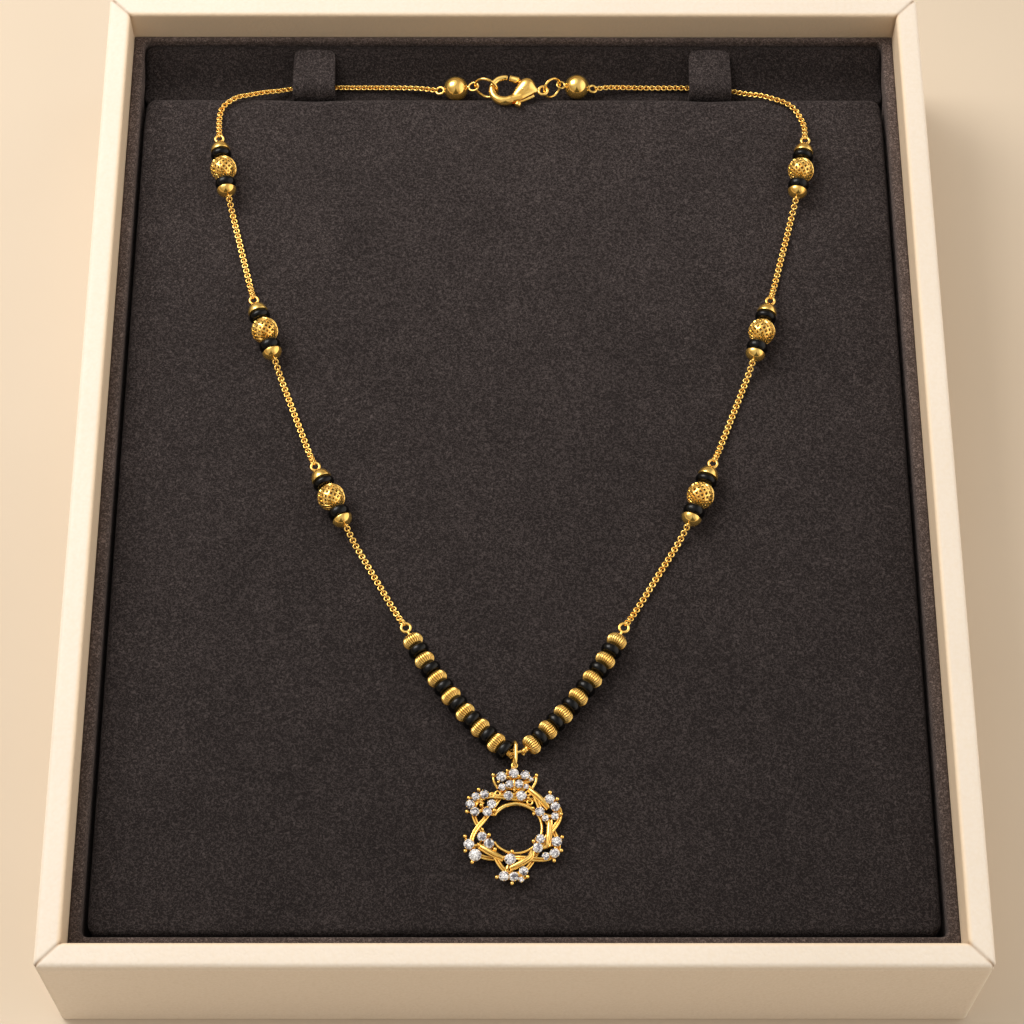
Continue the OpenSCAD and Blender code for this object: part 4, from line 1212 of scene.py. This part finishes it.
TIPS = [(-4.4, 10.6), (4.0, 10.5), (-7.2, 7.6), (-9.1, 5.9), (-9.45, 3.1), (-4.15, 3.35),
        (-6.65, 4.4), (6.6, 7.0), (8.0, 5.65), (8.7, 2.6), (3.35, -2.9), (8.85, -2.05),
        (8.7, -4.75), (7.3, -6.8), (-9.8, -1.9), (-9.7, -4.85), (-8.35, -7.1), (-5.15, -1.6),
        (-4.0, -4.5), (-0.75, -4.95), (-3.65, -10.1), (-0.75, -11.3), (2.2, -10.0), (-7.1, -3.6)]
DOTS = [(-1.7, 11.5), (-1.4, 10.2), (0.6, 10.35), (-3.4, 9.15), (-0.3, 7.5), (-6.4, -0.5),
        (2.4, 5.85), (3.4, 2.6), (3.3, 3.8)]
LOOPS = [(-4.6, 6.65, 0.42), (-3.5, 6.9, 0.5), (2.7, 5.15, 0.5), (2.4, 6.95, 0.45)]
BARS = [[(-7.0, -3.7), (-4.6, -5.15), (-2.3, -6.3)],
        [(-1.3, -8.2), (0.8, -7.25), (2.6, -5.95), (3.05, -4.5)],
        [(6.0, -3.8), (6.3, -1.2), (6.4, 1.5)],
        [(2.5, 7.85), (4.6, 6.0), (6.4, 3.9)]]
CROWN_ARMS = [((-4.4, 10.6), (-3.5, 8.0)), ((4.0, 10.5), (3.1, 8.0))]
ALL_STONES = [stone for cluster in STONES.values() for stone in cluster]


def on_pendant(x, y, rise):
    return np.array([PENDANT[0] + x, PENDANT[1] + y, PAD_Z + rise])


def polar(degrees, distance):
    a = math.radians(degrees)
    return distance * np.array([math.cos(a), math.sin(a)])


def woven(side, steps=240):
    """One of the two woven paths, swinging in and out past the other, wider outside than in."""
    a = np.arange(steps) * 360 / steps
    wave = np.radians(3 * (a + WEAVE_PHASE))
    r = WEAVE_R + side * WEAVE_SWING * np.sin(wave) + WEAVE_SKEW * np.sin(wave) ** 2
    x, y = r * np.cos(np.radians(a)), r * np.sin(np.radians(a))
    return np.c_[PENDANT[0] + x, PENDANT[1] + y, PAD_Z + WEAVE_RISE + side * WEAVE_LIFT * np.cos(wave)]


def beside(path, distance, closed=False):
    """The same path moved to its right."""
    return path + distance * unit(np.cross(directions(path, closed), UP))


CUP_PROFILE = [(0.3, 0.66), (0.36, 1.0), (0.44, CUP_TOP - 0.08), (0.46, CUP_TOP + 0.02),
               (0.40, CUP_TOP + 0.02), (0.26, 0.9), (0.0, 0.86), (0.0, 0.6), (0.3, 0.6)]


def stone_cup(x, y, size, turn):
    """Tapered cup, rolled lip, and small claws that lap the stone's edge."""
    foot = on_pendant(x, y, 0)
    out = [placed(lathe(np.array(CUP_PROFILE) * (size, 1), 28), foot)]
    for k in range(4):
        way = np.array([*polar(turn + 90 * k, 1), 0])
        low = foot + way * 0.44 * size + (0, 0, CUP_TOP - 0.3)
        high = foot + way * 0.475 * size + (0, 0, STONE_SEAT + 0.4)
        out += [tube([low, (low + high) / 2 + way * 0.05, high], CLAW_R * 0.8, 8),
                placed(ball(CLAW_R, 12), high + (0, 0, 0.03))]
    return out


def brilliant(size, turn):
    """Round cut stone: a table, eight stars, eight kites and sixteen upper facets over the girdle,
    and twenty-four below it down to a flat culet. Facets keep their own points, so that each has
    its own painted light."""
    r = size / 2 + 0.01
    tall = STONE_TALL * size

    def circle(count, radius, z, shift=0.0):
        a = np.radians(turn) + (np.arange(count) + shift) * math.tau / count
        return np.c_[radius * np.cos(a), radius * np.sin(a), np.full(count, z)]

    table = circle(8, 0.56 * r, tall, 0.5)
    stars = circle(8, 0.77 * r, 0.84 * tall)
    girdle = circle(16, r, 0.52 * tall)
    edge = circle(16, r, 0.44 * tall)
    culet = circle(8, 0.42 * r, 0.0, 0.5)
    facets = [table]
    for k in range(8):
        n, far = (k + 1) % 8, (2 * k + 2) % 16
        facets += [[table[k - 1], stars[k], table[k]],
                   [table[k], stars[k], girdle[2 * k + 1], stars[n]],
                   [stars[k], girdle[2 * k], girdle[2 * k + 1]],
                   [stars[k], girdle[2 * k - 1], girdle[2 * k]],
                   [edge[2 * k], edge[2 * k + 1], culet[k]],
                   [edge[2 * k + 1], edge[far], culet[k]],
                   [edge[far], culet[n], culet[k]]]
    facets += [[girdle[k - 1], girdle[k], edge[k], edge[k - 1]] for k in range(16)]
    facets.append(culet[::-1])
    return facets


# Painted light on the facets: the inner and outer facets' choices, and the table's
INNER_FACET_LIGHTS, OUTER_FACET_LIGHTS = (0.0, 0.25, 0.55, 0.8, 1.0), (0.35, 0.8, 1.0, 1.0, 1.0)
TABLE_FACET_LIGHT, FACET_LIGHT_SPREAD = 0.55, 0.06
OUTER_FROM = 0.42


def make_stones(rng):
    """The cut stones, with painted light on each facet, paler near their edges."""
    parts = []
    for x, y, size in ALL_STONES:
        at = on_pendant(x, y, STONE_SEAT)
        for i, facet in enumerate(brilliant(size, rng.uniform(0, 45))):
            facet = np.asarray(facet)
            outer = np.hypot(*facet[:, :2].T).mean() > OUTER_FROM * size
            facet_light = rng.choice(OUTER_FACET_LIGHTS if outer else INNER_FACET_LIGHTS) if i else TABLE_FACET_LIGHT
            mark = np.clip(facet_light + rng.uniform(-FACET_LIGHT_SPREAD, FACET_LIGHT_SPREAD), 0, 1)
            parts.append((facet + at, [list(range(len(facet)))], 0, mark))
    piece("pendant_cut_stones", parts, [STONE], ["pendant_stones"], "clear_stone", sharp=1)


def nearest_stone(at):
    places = [on_pendant(x, y, WEAVE_RISE) for x, y, _ in ALL_STONES]
    return min(places, key=lambda p: np.linalg.norm((p - at)[:2]))


def make_pendant(rng):
    """The wreath's wirework: the opening's wire, the woven pairs, the cups with webs between them,
    tips and dots on stems, loops, bars, the crown's arms and the hanging eye."""
    ends = [on_pendant(*STONES[cluster][i][:2], WEAVE_RISE - 0.2) for cluster, i in HOLE_ENDS]
    hole = [on_pendant(*polar(a, RING_R), WEAVE_RISE - 0.1) for a in np.linspace(*RING_STOPS, 90)]
    thick = np.interp(np.linspace(0, 1, 220), HOLE_STOPS, HOLE_WIRES)
    parts = [bent([ends[0], *hole, ends[1]], 220, thick)]
    parts += [tube(beside(woven(side), s * WIRE_PAIR, closed=True), THIN_WIRE, 10, closed=True)
              for side in (-1, 1) for s in (-1, 1)]
    for cluster in STONES.values():
        for i, (x, y, size) in enumerate(cluster):
            parts += stone_cup(x, y, size, rng.uniform(0, 90))
            near = cluster[i - 1][:2] if i else (0.8 * x, 0.8 * y)
            parts.append(rod(on_pendant(x, y, WEB_RISE), on_pendant(*near, WEB_RISE), WEB_R, count=4))
    for places, radius in ((TIPS, TIP_R), (DOTS, DOT_R)):
        for x, y in places:
            tip = on_pendant(x, y, TIP_RISE)
            root = nearest_stone(tip)
            stem = [root, (root + tip) / 2 - (0, 0, STEM_SAG), tip]
            parts += [bent(stem, 10, np.linspace(0.6, 0.5, 10) * radius, 10), placed(ball(radius, 20), tip)]
    parts += [placed(ring(radius, LOOP_WIRE, 32, 10), on_pendant(x, y, LOOP_RISE)) for x, y, radius in LOOPS]
    swell = np.sin(np.linspace(0, math.pi, 30))
    for route in BARS:
        path = smoothed([on_pendant(x, y, BAR_RISE) for x, y in route], 30)
        raised = path + np.outer(swell, (0, 0, BAR_SWELL))
        parts += [tube(beside(path, BAR_WIRE_OFF), BAR_WIRE, 10),
                  tube(raised, BAR_R + BAR_BELLY * swell ** 0.4, 16)]
    parts += crown_arms() + hanging_eye()
    gold_piece("pendant_wirework", parts, "pendant_frame", skins=[CAST_GOLD], sharp=50)


def crown_arms():
    """Curved arms from the crown's outer tips down to the wreath."""
    arms = []
    for tip, foot in CROWN_ARMS:
        top, low = on_pendant(*tip, ARM_RISE), on_pendant(*foot, WEAVE_RISE)
        middle = (top + low) / 2 + (ARM_BOW * np.sign(foot[0]), 0, ARM_LIFT)
        arms.append(bent([top, middle, low], 18, ARM_R))
    return arms


def hanging_eye():
    """The eye that the bail holds, on a post down to the crown's top stone."""
    eye = np.array([PENDANT[0] + BAIL_ASIDE, HANG_EYE_Y, PAD_Z + BAIL_RISE])
    foot = eye - (0, HANG_EYE_R, 0)
    post = [foot, foot - (0, 0.15, 0.5), *(on_pendant(x, y, WEAVE_RISE) for x, y in POST_PLACES)]
    return [placed(ring(HANG_EYE_R, HANG_WIRE, 36, 12), eye), bent(post, 14, POST_R)]


def make_bail():
    """Oval wire loop, seen almost edge on, that hangs the pendant from the strand."""
    across = np.array([math.sin(BAIL_TURN), 0, math.cos(BAIL_TURN)])
    flat = np.vstack([arc((BAIL_STRAIGHT, 0), BAIL_BEND, -90, 90, 22),
                      arc((-BAIL_STRAIGHT, 0), BAIL_BEND, 90, 270, 22)])
    middle = np.array([PENDANT[0] + BAIL_ASIDE, BAIL_Y, PAD_Z + BAIL_RISE])
    path = middle + flat[:, :1] * (0, 1, 0) + flat[:, 1:] * across
    gold_piece("pendant_bail_wire", [tube(path, BAIL_WIRE, 16, closed=True)], "pendant_bail")


# Floor and light

KEY_AT, KEY_AIM = (-420, 330, 620), (0, 0, 20)
KEY_SIZE, KEY_WATTS, KEY_COLOUR = 460, 4.15, (1.0, 0.96, 0.90)
SKY_LIGHT = 0.70
GLOW_LIGHT, GLOW_EDGE, GLOW_CORE = 1.5, 0.74, 0.95
FILL_WAY = (1, 0, 0.15)
FILL_LIGHT, FILL_EDGE, FILL_CORE = 1.7, 0.55, 0.85
WARM = np.array([1, 0.96, 0.90])
SKY_STOPS = ((0.0, (1.12, 0.88, 0.63)), (0.14, (1.05, 0.83, 0.60)), (0.3, (0.46, 0.37, 0.26)),
             (0.6, (0.76, 0.71, 0.63)), (0.85, (1.02, 0.98, 0.93)))
STAND_TAPER, STAND_FADE = 0.53, 3.0
FLOOR_HALF = 3.0


def make_key():
    """The large soft light, over the left and the back."""
    data = bpy.data.lights.new("key", "AREA")
    data.shape = "RECTANGLE"
    data.size = data.size_y = KEY_SIZE * MM
    data.energy = KEY_WATTS
    data.color = KEY_COLOUR
    z = unit(np.subtract(KEY_AT, KEY_AIM))
    x = unit(np.cross((0, 1, 0), z))
    stand(new_object("key", data), KEY_AT, x, np.cross(z, x), z)


def make_sky():
    """White tent: bright overhead, tan near the floor, with a soft glow round the key light, a fill
    low on the right, and a dark, tapering place at the front where the stand is."""
    world = bpy.data.worlds.new("studio")
    bpy.context.scene.world = world
    world.use_nodes = True
    sky = Nodes(world.node_tree, "Generated")
    way = sky.axes()
    lift = sky.ramp(way["Z"], *SKY_STOPS)
    front = sky.ramp(sky.math("MULTIPLY_ADD", way["Y"], -0.5), (0.25, 0.7), (0.8, 1.0), (1.0, 1.25))
    lean = sky.ramp(sky.math("MULTIPLY_ADD", way["X"], 0.5), (0.0, 0.88), (1.0, 1.0))
    side = sky.math("ADD", sky.math("ABSOLUTE", way["X"]), sky.math("MULTIPLY", way["Z"], STAND_TAPER))
    behind = sky.math("MAXIMUM", way["Y"], 0.0)
    stand_edge = sky.ramp(sky.math("MULTIPLY_ADD", behind, STAND_FADE, side), (0.45, 0.04), (0.54, 1.0))
    tent = sky.times(sky.times(sky.times(lift, lean), front), stand_edge)
    for aim, edge, core, strength in ((KEY_AT, GLOW_EDGE, GLOW_CORE, GLOW_LIGHT),
                                      (FILL_WAY, FILL_EDGE, FILL_CORE, FILL_LIGHT)):
        near = sky.add("VectorMath", {0: sky.place, 1: unit(aim).tolist()}, operation="DOT_PRODUCT")
        shine = sky.ramp(near.outputs["Value"], (edge, 0.0), (core, strength * WARM))
        tent = sky.blend(1.0, tent, shine, "ADD")
    background = world.node_tree.nodes["Background"].inputs
    background["Strength"].default_value = SKY_LIGHT
    world.node_tree.links.new(tent, background["Color"])


def make_floor():
    mesh = bpy.data.meshes.new("floor")
    corners = [(-1, -1, 0), (1, -1, 0), (1, 1, 0), (-1, 1, 0)]
    mesh.from_pydata((np.array(corners) * FLOOR_HALF).tolist(), [], [[0, 1, 2, 3]])
    mesh.materials.append(floor_card())
    floor = new_object("floor", mesh)


make_camera()
make_case()
make_liner()
make_pad()
make_rear_cushion()
for side in SIDES:
    make_tab(side)
make_chains()
for side in SIDES:
    for number in (1, 2, 3):
        make_station(side, number)
make_strand()
for side in SIDES:
    make_end_ball(side)
    make_jump_ring(side)
make_clasp()
make_lever()
seeded = np.random.default_rng(7)
make_pendant(seeded)
make_stones(seeded)
make_bail()
make_floor()
make_key()
make_sky()
bpy.context.scene.view_settings.view_transform = "Standard"
